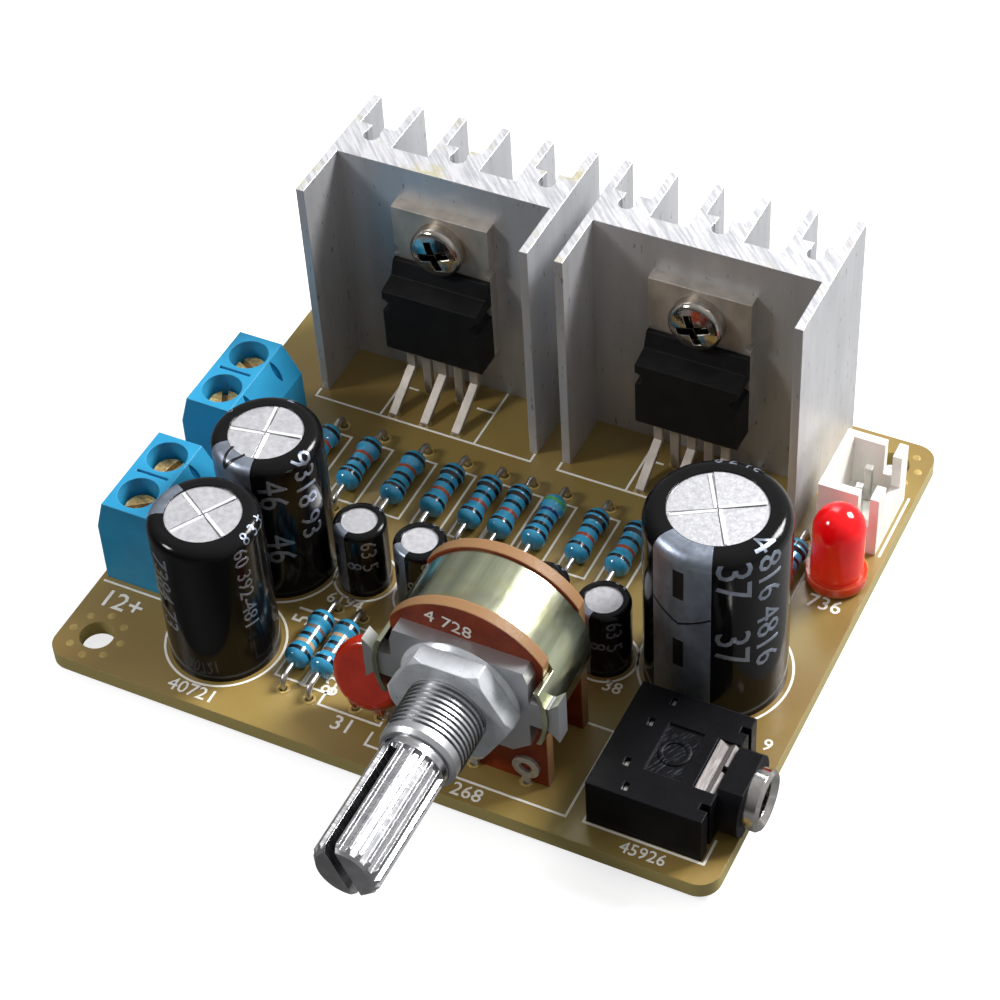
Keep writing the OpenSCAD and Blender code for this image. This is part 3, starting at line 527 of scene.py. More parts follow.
# Bright tinned spring strip, brushed along its length: darker here than tin, which the lamp would bleach
TINPLATE = Surface("bright_tinned_spring_strip", "#7d7876", "#55504f", (0.25, 4.0, 0.25), (0.52, 0.66),
                   (0.15, 1.2, 0.15), 0.006, 0.06, "", (("Metallic", 0.5),))
# As-cast zinc: dull grey skin with a fine grain
ZINC_CAST = Surface("die_cast_zinc", "#5e5f61", "#434446", (1.8, 1.8, 1.2), (0.24, 0.38),
                    even(0.6), 0.03, 0.15, "#a2a4a7", METAL)
# The same zinc where the thread is cut: bare crests, dark grooves
THREAD = Surface("cut_zinc_thread", "#76787b", "#5a5c5f", even(0.8), (0.24, 0.36), even(0.4),
                 0.01, 0.03, "", METAL)
# Phenolic paper: red-brown pressed face, tan punched edge
PHENOLIC = Wafer("phenolic_paper_laminate", "#8a3410", "#74280b", even(2.0), (0.42, 0.58),
                 even(0.25), 0.03, 0.2, "#a07a54", (("Specular IOR Level", 0.25),))
# Yellow chromate over zinc: pale grey-green metal with straw and pink drifts
CHROMATE = Chromate("yellow_chromate_zinc", "#d4d8b8", "#a0aa90", (1.5, 60.0, 1.5), (0.16, 0.24),
                    (0.3, 1.5, 0.3), 0.001, 0.1, "", METAL)
# Turned aluminium: bright, with fine turning rings
TURNED = Surface("bright_turned_aluminium", "#cfcfd1", "#b2b2b6", even(1.5), (0.16, 0.3),
                 (2.0, 0.18, 2.0), 0.006, 0.08, "", METAL)
# White acetal, moulded
ACETAL = Surface("white_acetal", "#e4e2da", "#d6d3c8", even(4.0), (0.4, 0.5))
# Spring brass strip
BRASS = Surface("spring_brass_strip", "#c9a04e", "#b58b3e", even(1.0), (0.2, 0.35),
                (0.2, 0.8, 0.2), 0.004, 0.05, "", METAL)
# Bright zinc plate: bluish grey, soft shine
ZINC_PLATE = Surface("bright_zinc_plate", "#dde1e6", "#c6cbd1", even(1.5), (0.26, 0.42),
                     even(0.3), 0.008, 0.2, "#e6e9ed", (("Metallic", 0.35),))
# Black ABS with a fine moulded grain
BLACK_ABS = Scuffed("black_abs", "#08080a", "#0e0e11", even(3.0), (0.34, 0.48), even(0.18),
                    0.008, 0.15, "#2c2c32", (("Specular IOR Level", 0.11),))
# White nylon: slightly waxy and translucent
NYLON = Surface("white_nylon_66", "#f1f0ec", "#e8e6e0", even(4.0), (0.38, 0.5), even(0.3),
                0.004, 0.12, "", (("Subsurface Weight", 0.2), ("Subsurface Scale", 0.0008)))
# Red diffused epoxy: glossy, glowing a little from inside
RED_EPOXY = Lens("red_diffused_epoxy", "#e0131a", "#cc0c13", even(2.5), (0.05, 0.1),
                 even(0.8), 0.002, 0.15, "#ff7a5c",
                 (("Subsurface Weight", 0.9), ("Subsurface Scale", 0.008), ("Specular IOR Level", 0.45)))
# Bright drawn aluminium can, with a fine rolled speckle
CAN = Surface("drawn_aluminium_can", "#e0e0e4", "#c8c8ce", even(0.5), (0.34, 0.5),
              even(0.2), 0.012, 0.06, "", (("Metallic", 0.7),))
# Coined lines of the scored top: pressed smooth, and painted near white as the highlight they catch
COINED_HIGHLIGHT = Surface("coined_aluminium_painted_highlight", "#f4f4f5", "#e6e6e8", even(0.8), (0.3, 0.4), even(0.3),
                 0.004, 0.04, "", (("Metallic", 0.4),))
# Painted shadow beside it: a thin dull grey line along each arm of the cross
SCORE_SHADOW = Surface("painted_score_shadow", "#77787b", "#5d5e61", even(0.6), (0.5, 0.6), even(0.2),
                0.006, 0.02, "", (("Metallic", 0.5),))
# Black shrink film: deep gloss with long soft waves
SLEEVE = Surface("black_shrink_film", "#0a0a0b", "#0f0f11", (4.0, 4.0, 8.0), (0.08, 0.16),
                 (1.6, 1.6, 3.0), 0.012, 0.2, "", (("Specular IOR Level", 0.22),))
# Silver ink on the film: metallic, a little patchy
SILVER_INK = Surface("silver_ink_on_film", "#a2abbb", "#878f9d", (1.2, 1.2, 2.5), (0.34, 0.48),
                     (0.3, 0.3, 0.6), 0.006, 0.02, "", (("Metallic", 0.85),))
# Black ink on the silver stripe
DARK_INK = Surface("black_ink_on_film", "#0d0d0f", "#141417", even(1.0), (0.3, 0.4),
                   even(0.3), 0.003, 0.02)
# Butyl rubber bung
RUBBER = Surface("butyl_rubber", "#1b1b1b", "#242424", even(1.0), (0.6, 0.75), even(0.2), 0.01)
# Sky-blue resistor lacquer: thick, glossy dip
LACQUER = Surface("sky_blue_lacquer", "#338fb4", "#2a7fa5", (1.0, 1.6, 1.0), (0.08, 0.18),
                  even(0.5), 0.008, 0.05, "", (("Coat Weight", 0.4), ("Coat Roughness", 0.05)))
# Red dipped ceramic: thick epoxy coat, glossy and lumpy
RED_DIP = Surface("red_epoxy_dip", "#b52c13", "#a0220d", even(1.8), (0.14, 0.26), even(0.9),
                  0.03, 0.1, "", (("Coat Weight", 0.3), ("Coat Roughness", 0.08)))
# Black moulding compound of a chip: matt with tiny sparkles
MOULDING = Surface("black_moulding_compound", "#101011", "#181819", even(1.5), (0.45, 0.6),
                   even(0.12), 0.008, 0.15, "#29292b", (("Specular IOR Level", 0.2),))
# Sky-blue polyamide of the terminals: satin moulded
BLUE_PA = Surface("blue_polyamide", "#2a93bf", "#2385b0", even(4.0), (0.34, 0.46),
                  even(0.35), 0.006, 0.15, "#4aa0cc", (("Specular IOR Level", 0.35),))
# Yellow-passivated steel screw
YELLOW_SCREW = Surface("yellow_passivated_steel", "#fbdc9a", "#b98845", even(0.3), (0.1, 0.24),
                       even(0.35), 0.08, 0.12, "#fff2d2", (("Metallic", 0.5),))
# Rising clamp of brass
CLAMP_BRASS = Surface("stamped_brass", "#bd9a55", "#a6833f", even(0.8), (0.25, 0.4), even(0.2),
                      0.006, 0.08, "", METAL)


def band_ink(name: str, colour: str, second: str) -> Surface:
    """Gives the glossy ink of one resistor band colour."""
    return Surface(name, colour, second, even(0.8), (0.12, 0.22), even(0.4), 0.006, 0.03)


class Band(Enum):
    """Inks of the resistor bands, each with its place in the coat's material slots."""

    BLACK = 1
    RED = 2
    NAVY = 3
    GREEN = 4
    TAN = 5
    GREY = 6


BAND_INKS = [band_ink(f"{name}_band_ink", colour, second) for name, colour, second in (
    ("black", "#131519", "#1c1f25"), ("red", "#93462f", "#7f3825"), ("navy", "#1d2f66", "#182756"),
    ("green", "#4f9a58", "#3f8649"), ("tan", "#b79a78", "#a38562"), ("grey_brown", "#6d5a50", "#5d4b42"))]


class Shape:
    """A mesh in millimetres of the part's frame, put together with bmesh operators."""

    def __init__(self) -> None:
        """Starts with an empty mesh."""
        self.mesh = bmesh.new()

    @classmethod
    def block(cls, low: Size, high: Size) -> Shape:
        """Makes a box.

        Args:
            low: Lowest corner.
            high: Highest corner.

        Returns:
            The box.
        """
        made = cls()
        middle = (Vector(low) + Vector(high)) / 2
        size = Vector(high) - Vector(low)
        bmesh.ops.create_cube(made.mesh, size=1.0,
                              matrix=Matrix.Translation(middle) @ Matrix.Diagonal((*size, 1.0)))
        return made

    @classmethod
    def bar(cls, stroke: Stroke, width: float, low: float, high: float) -> Shape:
        """Makes a straight flat bar on the board's plane.

        Args:
            stroke: Start and end of its middle line.
            width: Width of the bar.
            low: Height of its underside.
            high: Height of its upper side.

        Returns:
            The bar.
        """
        start, end = Vector(stroke[:2]), Vector(stroke[2:])
        run = end - start
        half = run.length / 2 + width / 2
        made = cls.block((-half, -width / 2, low), (half, width / 2, high))
        turn = Matrix.Rotation(math.atan2(run.y, run.x), 4, "Z")
        return made.placed(Matrix.Translation(((start + end) / 2).to_3d()) @ turn)

    @classmethod
    def turned(cls, profile: list[Point], steps: int = 48, angle: float = TURN, start: float = 0.0) -> Shape:
        """Spins a profile about Z.

        Args:
            profile: Radius and height of each point.
            steps: Faces round the turn.
            angle: Angle of the turn.
            start: Angle at which the profile starts.

        Returns:
            The turned shape.
        """
        made = cls()
        points = [made.mesh.verts.new((r * math.cos(start), r * math.sin(start), h)) for r, h in profile]
        lines = [made.mesh.edges.new(pair) for pair in zip(points, points[1:])]
        bmesh.ops.spin(made.mesh, geom=points + lines, cent=(0, 0, 0), axis=(0, 0, 1), dvec=(0, 0, 0),
                       angle=angle, steps=steps, use_merge=abs(angle - TURN) < 1e-6, use_duplicate=False)
        bmesh.ops.remove_doubles(made.mesh, verts=made.mesh.verts, dist=1e-5)
        return made

    @classmethod
    def ring(cls, inner: float, outer: float, low: float, high: float, steps: int = 48) -> Shape:
        """Makes a flat ring about Z, from a small square that is spun."""
        return cls.turned([(inner, low), (outer, low), (outer, high), (inner, high), (inner, low)], steps)

    @classmethod
    def digits(cls, text: str, height: float, depth: float, bold: float = 0.0) -> Shape:
        """Makes raised figures, centred on the origin and facing up.

        Args:
            text: The figures.
            height: Height of a figure.
            depth: Thickness of the figures.
            bold: Thickening of the strokes, as a share of the height.

        Returns:
            The figures as solids.
        """
        curve = bpy.data.curves.new("figures", "FONT")
        curve.body, curve.align_x, curve.align_y = text, "CENTER", "CENTER"
        curve.extrude, curve.offset, curve.resolution_u = 0.5, bold, 2
        holder = bpy.data.objects.new("figures", curve)
        bpy.context.scene.collection.objects.link(holder)
        bpy.context.view_layer.update()
        block = bpy.data.meshes.new_from_object(holder.evaluated_get(bpy.context.evaluated_depsgraph_get()))
        bpy.data.objects.remove(holder)
        bpy.data.curves.remove(curve)
        made = cls()
        made.mesh.from_mesh(block)
        bpy.data.meshes.remove(block)
        bmesh.ops.remove_doubles(made.mesh, verts=made.mesh.verts, dist=1e-5)
        ys = [v.co.y for v in made.mesh.verts]
        scale = height / (max(ys) - min(ys))
        middle = (max(ys) + min(ys)) / 2
        return made.placed(Matrix.Diagonal((scale, scale, depth, 1.0)) @ Matrix.Translation((0, -middle, 0)))

    def placed(self, matrix: Matrix) -> Shape:
        """Moves the whole shape.

        Args:
            matrix: Where it goes.

        Returns:
            The same shape.
        """
        bmesh.ops.transform(self.mesh, matrix=matrix, verts=self.mesh.verts)
        return self

    def at(self, x: float, y: float, z: float = 0.0) -> Shape:
        """Moves the whole shape by a distance along X, Y and Z."""
        return self.placed(Matrix.Translation((x, y, z)))

    def painted(self, index: int) -> Shape:
        """Gives every face one of the piece's finishes.

        Args:
            index: Number of the finish.

        Returns:
            The same shape.
        """
        for face in self.mesh.faces:
            face.material_index = index
        return self

    def thickened(self, depth: float) -> Shape:
        """Turns a sheet to a thin closed wall.

        Args:
            depth: Thickness of the wall.

        Returns:
            The same shape.
        """
        bmesh.ops.recalc_face_normals(self.mesh, faces=self.mesh.faces)
        bmesh.ops.solidify(self.mesh, geom=self.mesh.faces, thickness=depth)
        return self

    def sliced(self, normal: Size, step: float) -> Shape:
        """Cuts all faces by evenly spaced planes, so that the shape can bend.

        Args:
            normal: Direction across the planes.
            step: Distance from plane to plane.

        Returns:
            The same shape.
        """
        across = Vector(normal)
        reach = [v.co.dot(across) for v in self.mesh.verts]
        first, last = math.ceil(min(reach) / step), math.floor(max(reach) / step)
        for k in range(first, last + 1):
            geom = self.mesh.verts[:] + self.mesh.edges[:] + self.mesh.faces[:]
            bmesh.ops.bisect_plane(self.mesh, geom=geom, plane_co=across * k * step, plane_no=across,
                                   dist=1e-5)
        return self

    def wrapped(self, radius: float, angle: float, top: float, shoulder: float) -> Shape:
        """Bends a flat shape round a cylinder about Z, reading down, with its upper side to the right.

        Args:
            radius: Radius of the cylinder.
            angle: Angle of the shape's middle line.
            top: Height of the shape's start.
            shoulder: Radius of the rounding at the cylinder's upper rim.

        Returns:
            The same shape.
        """
        rim, arc = top - shoulder, shoulder * math.pi / 2
        for v in self.mesh.verts:
            down, y, t = v.co
            turn = angle + y / radius
            reach, height = radius + t, rim - (down - arc)
            if down < arc:
                bend = (arc - down) / shoulder
                inward = max(0.0, bend - math.pi / 2) * shoulder
                bend = min(bend, math.pi / 2)
                reach = radius - shoulder + (shoulder + t) * math.cos(bend) - inward
                height = rim + (shoulder + t) * math.sin(bend)
            v.co = (reach * math.cos(turn), reach * math.sin(turn), height)
        return self

    def take(self, other: Shape) -> Shape:
        """Adds another shape's faces to this one.

        Args:
            other: The shape that is used up.

        Returns:
            This shape.
        """
        block = bpy.data.meshes.new("taken")
        other.mesh.to_mesh(block)
        other.mesh.free()
        self.mesh.from_mesh(block)
        bpy.data.meshes.remove(block)
        return self

    def finish(self, name: str, body: str, slot: str, finishes: list[Surface], replaces: tuple[str, ...] = (),
               crease_deg: float = 40.0) -> bpy.types.Object:
        """Makes the shape a piece of the part.

        Args:
            name: Name of the piece.
            body: CAD body that it moves with.
            slot: Not used.
            finishes: Finishes in the order of the faces' numbers.
            replaces: CAD nodes that it stands for.
            crease_deg: Angle past which an edge stays sharp.

        Returns:
            The piece.
        """
        bmesh.ops.remove_doubles(self.mesh, verts=self.mesh.verts, dist=1e-5)
        bmesh.ops.recalc_face_normals(self.mesh, faces=self.mesh.faces)
        self.placed(Matrix.Scale(MM, 4))
        for face in self.mesh.faces:
            face.smooth = True
        block = bpy.data.meshes.new(name)
        self.mesh.to_mesh(block)
        self.mesh.free()
        block.set_sharp_from_angle(angle=math.radians(crease_deg))
        for finish in finishes:
            block.materials.append(finish.material())
        piece = bpy.data.objects.new(name, block)
        bpy.context.scene.collection.objects.link(piece)
        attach(piece, body)
        if replaces:
            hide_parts(*replaces)
        LOG.info("piece %s: %d faces on %s", name, len(block.polygons), body)
        return piece


def dress(finish: Surface, *nodes: str) -> None:
    """Gives CAD nodes a finish.

    Args:
        finish: The finish.
        nodes: Names of the nodes.
    """
    for name in nodes:
        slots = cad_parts[name].data.materials
        slots.clear()
        slots.append(finish.material())
    LOG.info("finish %s on %s", finish.name, ", ".join(nodes))


def box_mm(node: str) -> tuple[Vector, Vector]:
    """Gives a CAD node's lowest and highest corners in millimetres."""
    low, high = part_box(node)
    return low / MM, high / MM


def loose_boxes(node: str) -> list[tuple[Vector, Vector]]:
    """Finds the separate solids of a CAD node.

    Args:
        node: Name of the node.

    Returns:
        Lowest and highest corner of each solid, in millimetres.
    """
    copy = bmesh.new()
    copy.from_mesh(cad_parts[node].data)
    bmesh.ops.remove_doubles(copy, verts=copy.verts, dist=1e-7)
    boxes, seen = [], set()
    for first in copy.verts:
        if first in seen:
            continue
        found, stack = [], [first]
        seen.add(first)
        while stack:
            vert = stack.pop()
            found.append(vert.co / MM)
            near = [edge.other_vert(vert) for edge in vert.link_edges]
            fresh = [other for other in near if other not in seen]
            seen.update(fresh)
            stack.extend(fresh)
        boxes.append((Vector(map(min, zip(*found))), Vector(map(max, zip(*found)))))
    copy.free()
    return sorted(boxes, key=lambda pair: (round(pair[0].x, 2), round(pair[0].y, 2)))


class Reading(Enum):
    """Ways that figures on the board run."""

    ALONG_X = 0.0
    ALONG_Y = math.pi / 2


@dataclass
class CircuitBoard:
    """The laminate with its white print, its eyelets and the solder under it.

    Attributes:
        line: Width of a printed line.
        proud: Height of the print over the board.
        sunk: Depth of the print in the board.
        lift: Step in height from stroke to stroke, so that few that cross lie on one plane.
        strokes: Printed lines that stand alone.
        heatsink_strokes: Printed lines at the left heatsink.
        heatsink_pitch: Distance from heatsink to heatsink.
        resistor_half: Half the size of a resistor's printed outline.
        sleeve_gap: Distance from a capacitor's sleeve to its printed ring.
        figures: Text, place, height and direction of the printed figures.
        holes: Mounting holes.
        ring_r: Radius of the ring of dots at a mounting hole.
        dots: Number of dots in that ring.
        dot: Radius and height over the board of a dot's profile.
        collar: The same for the flux round a lead.
        fillet: Radius and height of the solder's profile under the board.
    """

    line: float = 0.22
    proud: float = 0.03
    sunk: float = 0.02
    lift: float = 0.002
    strokes: list[Stroke] = field(default_factory=lambda: [
        (-31.93, -18.25, -25.71, -18.25), (31.95, 12.7, 31.95, 20.6), (19.9, -25.6, 30.75, -25.6),
        (19.9, -25.6, 19.9, -13.2), (30.8, -25.6, 30.8, -23.0), (-0.8, -25.7, 18.3, -25.7),
        (18.3, -25.7, 18.3, -15.76), (15.94, -15.76, 18.3, -15.76), (-0.8, -25.7, -0.8, -24.3),
        (-6.7, -23.35, -0.6, -23.35), (-0.6, -23.35, -0.6, -21.8), (-6.7, -23.35, -6.7, -21.8)])
    heatsink_strokes: tuple[Stroke, ...] = (
        (-25.9, 11.2, -2.6, 11.2), (-2.6, 11.2, -2.6, 12.2), (-25.9, 11.2, -25.9, 12.2),
        (-18.83, 11.3, -18.83, 18.7), (-8.6, 11.3, -8.6, 18.7), (-18.83, 15.8, -17.0, 15.8),
        (-10.4, 15.8, -8.6, 15.8))
    heatsink_pitch: float = 26.15
    resistor_half: Point = (1.45, 3.95)
    sleeve_gap: float = 0.5
    figures: list[tuple[str, float, float, float, Reading]] = field(default_factory=lambda: [
        ("12+", -28.95, -20.0, 2.0, Reading.ALONG_X), ("40721", -17.7, -26.4, 1.4, Reading.ALONG_X),
        ("31", -3.6, -24.5, 1.6, Reading.ALONG_X), ("268", 9.6, -26.75, 1.4, Reading.ALONG_X),
        ("45926", 25.8, -26.6, 1.2, Reading.ALONG_X), ("736", 29.5, 5.3, 1.6, Reading.ALONG_X),
        ("8263", -6.6, -19.9, 1.6, Reading.ALONG_Y), ("51", -12.9, -14.6, 1.7, Reading.ALONG_Y),
        ("6194", -10.3, -11.7, 1.3, Reading.ALONG_X), ("38", 16.1, -11.2, 1.3, Reading.ALONG_X),
        ("9", 30.9, -11.8, 1.3, Reading.ALONG_X)])
    holes: tuple[Point, ...] = ((-29.0, -24.3), (29.0, 24.3))
    ring_r: float = 2.5
    dots: int = 8
    dot: tuple[Point, ...] = ((0, -0.02), (0.45, -0.02), (0.3, 0.03), (0, 0.04))
    collar: tuple[Point, ...] = ((0.34, 0), (0.4, 0.05), (0.55, 0.03), (0.68, 0), (0.34, 0))
    fillet: tuple[Point, ...] = ((0, 0), (0.98, 0), (0.72, -0.14), (0.53, -0.36), (0.43, -0.66),
                                 (0.36, -0.92), (0.27, -0.96), (0.27, -1.2), (0, -1.2))

    def build(self) -> None:
        """Makes the print, the eyelets and the solder, and dresses the laminate."""
        dress(LAMINATE, "circuit_board")
        self.legend().finish("board_legend", "board", "white_plastic", [PRINT])
        self.eyelets().finish("lead_hole_eyelets", "board", "solder", [FLUX])
        fillets = self.at_joints(list(self.fillet))
        fillets.finish("solder_fillets", "board", "solder", [SOLDER], ("solder_joints",))

    def legend(self) -> Shape:
        """Draws lines, rings and figures in white on the board.

        Returns:
            The print.
        """
        low, high = BOARD_TOP - self.sunk, BOARD_TOP + self.proud
        made = Shape()
        strokes = list(self.strokes)
        for shift in (0.0, self.heatsink_pitch):
            strokes += [(x + shift, y, to_x + shift, to_y) for x, y, to_x, to_y in self.heatsink_strokes]
        for low_corner, high_corner in loose_boxes("resistor_bodies"):
            x, y = ((low_corner + high_corner) / 2)[:2]
            a, b = self.resistor_half
            strokes += [(x - a, y - b, x + a, y - b), (x + a, y - b, x + a, y + b),
                        (x + a, y + b, x - a, y + b), (x - a, y + b, x - a, y - b)]
        for number, stroke in enumerate(strokes):
            made.take(Shape.bar(stroke, self.line, low, high + self.lift * (number % 5)))
        for node in (*(f"capacitor_{n}_sleeve" for n in (1, 2, 3)), "small_capacitor_sleeves"):
            for a, b in loose_boxes(node):
                radius = (b.x - a.x) / 2 + self.sleeve_gap
                ring = Shape.ring(radius - self.line / 2, radius + self.line / 2, low, high, 64)
                made.take(ring.at((a.x + b.x) / 2, (a.y + b.y) / 2))
        for text, x, y, height, reading in self.figures:
            turn = Matrix.Rotation(reading.value, 4, "Z")
            made.take(Shape.digits(text, height, high - low, 0.008).placed(
                Matrix.Translation((x, y, (low + high) / 2)) @ turn))
        return made

    def eyelets(self) -> Shape:
        """Makes a flux-coloured collar round each lead, and a ring of filled eyelets at each mounting hole.

        Returns:
            The collars and eyelets.
        """
        made = Shape()
        for x, y in self.holes:
            for k in range(self.dots):
                turn = TURN * k / self.dots
                dot = Shape.turned([(r, BOARD_TOP + h) for r, h in self.dot], 16)
                made.take(dot.at(x + self.ring_r * math.cos(turn), y + self.ring_r * math.sin(turn)))
        return made.take(self.at_joints([(r, BOARD_TOP + h) for r, h in self.collar]))

    def at_joints(self, profile: list[Point]) -> Shape:
        """Puts a turned shape at each soldered lead.

        Args:
            profile: Radius and height of each point of the shape.

        Returns:
            The shapes.
        """
        made = Shape()
        for a, b in loose_boxes("solder_joints"):
            x, y = ((a + b) / 2)[:2]
            made.take(Shape.turned(profile, 20).at(x, y))
        return made


@dataclass
class PowerStage:
    """Two heatsinks with their clamped chips."""

    sides: tuple[str, str] = ("left", "right")

    def build(self) -> None:
        """Dresses the heatsinks, chips, screws and pins."""
        dress(EXTRUSION, *(f"heatsink_{side}" for side in self.sides))
        dress(MOULDING, *(f"chip_{side}_body" for side in self.sides))
        dress(TAB, *(f"chip_{side}_frame" for side in self.sides))
        dress(TIN, "heatsink_pins")
        dress(HEADS, "heatsink_screws")


@dataclass
class Terminals:
    """Blue screw terminals with their screws, clamps and contacts."""

    blocks: int = 2
    ways: int = 4

    def build(self) -> None:
        """Dresses the housings, contacts, screws and clamps."""
        for block in range(1, self.blocks + 1):
            dress(BLUE_PA, f"terminal_block_{block}_housing")
            dress(TIN, f"terminal_block_{block}_contacts")
        for way in range(1, self.ways + 1):
            dress(YELLOW_SCREW, f"terminal_screw_{way}")
            dress(CLAMP_BRASS, f"terminal_clamp_{way}")


@dataclass
class VolumeControl:
    """Volume control: cast bushing with a thread, wafers, cover, nut and knurled shaft.

    Attributes:
        axis_x: Place of the shaft's axis along X.
        axis_z: Height of the shaft's axis.
        thread_from: Place along Y where the thread begins.
        thread_to: Place along Y where it ends.
        pitch: Distance from thread to thread.
        root_r: Radius at the thread's root.
        crest_r: Radius at its crest.
        flank: Width of a flank, as a share of the pitch.
        steps: Faces round one turn.
        text: Figures on the front wafer.
        text_height: Height of a figure.
        text_at: Their middle along X and Z.
        text_tilt: Their lean.
    """

    axis_x: float = 8.75
    axis_z: float = 12.6
    thread_from: float = -27.4
    thread_to: float = -31.6
    pitch: float = 0.5
    root_r: float = 3.45
    crest_r: float = 3.62
    flank: float = 0.42
    steps: int = 36
    text: str = "4 728"
    text_height: float = 1.35
    text_at: Point = (7.3, 18.6)
    text_tilt: float = 0.16

    def build(self) -> None:
        """Makes the thread and the figures, and dresses the nodes."""
        dress(ZINC_CAST, "volume_bushing")
        dress(PHENOLIC, "volume_front_wafer", "volume_rear_wafer")
        dress(CHROMATE, "volume_cover")
        dress(LUGS, "volume_lugs")
        dress(TURNED, "volume_shaft")
        dress(ACETAL, "volume_rotors")
        dress(BRASS, "volume_wipers")
        dress(ZINC_PLATE, "volume_washer", "volume_nut")
        self.thread().finish("bushing_thread", "board", "die_cast_zinc", [THREAD])
        self.figures().finish("wafer_figures", "board", "white_plastic", [PRINT])

    def thread(self) -> Shape:
        """Spins a thread's section along the bushing.

        Returns:
            The thread.
        """
        made = Shape()
        turns = (self.thread_from - self.thread_to) / self.pitch
        half = self.pitch * self.flank
        corners = [(self.root_r, 0.0), (self.crest_r, half), (self.root_r, 2 * half)]
        points = [made.mesh.verts.new((r, 0, h)) for r, h in corners]
        lines = [made.mesh.edges.new((points[k], points[(k + 1) % 3])) for k in range(3)]
        count = int(turns * self.steps)
        bmesh.ops.spin(made.mesh, geom=points + lines, cent=(0, 0, 0), axis=(0, 0, 1),
                       dvec=(0, 0, self.pitch / self.steps), angle=TURN * count / self.steps, steps=count,
                       use_merge=False, use_duplicate=False)
        bmesh.ops.holes_fill(made.mesh, edges=made.mesh.edges, sides=4)
        lay = Matrix.Rotation(math.pi / 2, 4, "X")
        return made.placed(Matrix.Translation((self.axis_x, self.thread_from, self.axis_z)) @ lay)

    def figures(self) -> Shape:
        """Writes plain figures on the front wafer above the plate.

        Returns:
            The figures.
        """
        low, _ = box_mm("volume_front_wafer")
        x, z = self.text_at
        stand = Matrix.Rotation(math.pi / 2, 4, "X")
        tilt = Matrix.Rotation(self.text_tilt, 4, "Y")
        return Shape.digits(self.text, self.text_height, 0.04).placed(
            Matrix.Translation((x, low.y - 0.01, z)) @ tilt @ stand)


@dataclass
class PlugSocket:
    """Plug socket: black housing with a raised ring on its panel, clip, contacts and ferrule.

    Attributes:
        top_z: Height of the housing's top.
        panel_sunk: Depth of the panel in that top.
        ring_from_left: Distance of the ring's middle from the housing's left side.
        ring_y: Place of the ring's middle along Y.
        section: Radius and height over the panel of each point of the ring's section.
    """

    top_z: float = 6.8
    panel_sunk: float = 0.2
    ring_from_left: float = 5.5
    ring_y: float = -19.45
    section: tuple[Point, ...] = ((1.0, -0.05), (1.0, 0.1), (1.12, 0.16), (1.3, 0.16), (1.42, 0.1),
                                  (1.42, -0.05), (1.0, -0.05))

    def build(self) -> None:
        """Makes the ring and dresses the nodes."""
        dress(BLACK_ABS, "jack_housing")
        dress(NICKEL, "jack_ferrule")
        dress(TINPLATE, "jack_spring_clip")
        dress(TIN, "jack_contacts")
        low, _ = box_mm("jack_housing")
        panel = self.top_z - self.panel_sunk
        ring = Shape.turned([(r, panel + h) for r, h in self.section], 40)
        ring.at(low.x + self.ring_from_left, self.ring_y)
        ring.finish("jack_panel_ring", "board", "black_plastic", [BLACK_ABS])


@dataclass
class HeaderAndLamp:
    """White supply header and red indicator lamp."""

    def build(self) -> None:
        """Dresses the header and the lamp."""
        dress(NYLON, "header_housing")
        dress(TIN, "header_pins", "lamp_leads")
        dress(RED_EPOXY, "lamp_lens")


@dataclass(frozen=True)
class Column:
    """A column of figures on a capacitor's sleeve.

    Attributes:
        text: The figures.
        angle_deg: Angle of the column's middle line.
        height: Height of a figure.
        start: Distance from the sleeve's upper edge to the first figure.
        on_rim: Whether the figures follow the rim instead of running down.
    """

    text: str
    angle_deg: float
    height: float
    start: float
    on_rim: bool = False


@dataclass(frozen=True)
class Can:
    """Print of one electrolytic capacitor.

    Attributes:
        stripe_deg: Angles at which the silver stripe starts and ends.
        columns: Columns of figures.
        chevrons: Start from the top, share of the stripe's width and line width of each arrow point.
        dashes: Distances of the dark dashes from the top.
        cross_deg: Turn of the scored cross on the can's top.
    """

    stripe_deg: tuple[float, float]
    columns: tuple[Column, ...]
    chevrons: tuple[Size, ...] = ()
    dashes: tuple[float, ...] = ()
    cross_deg: float = 10.0


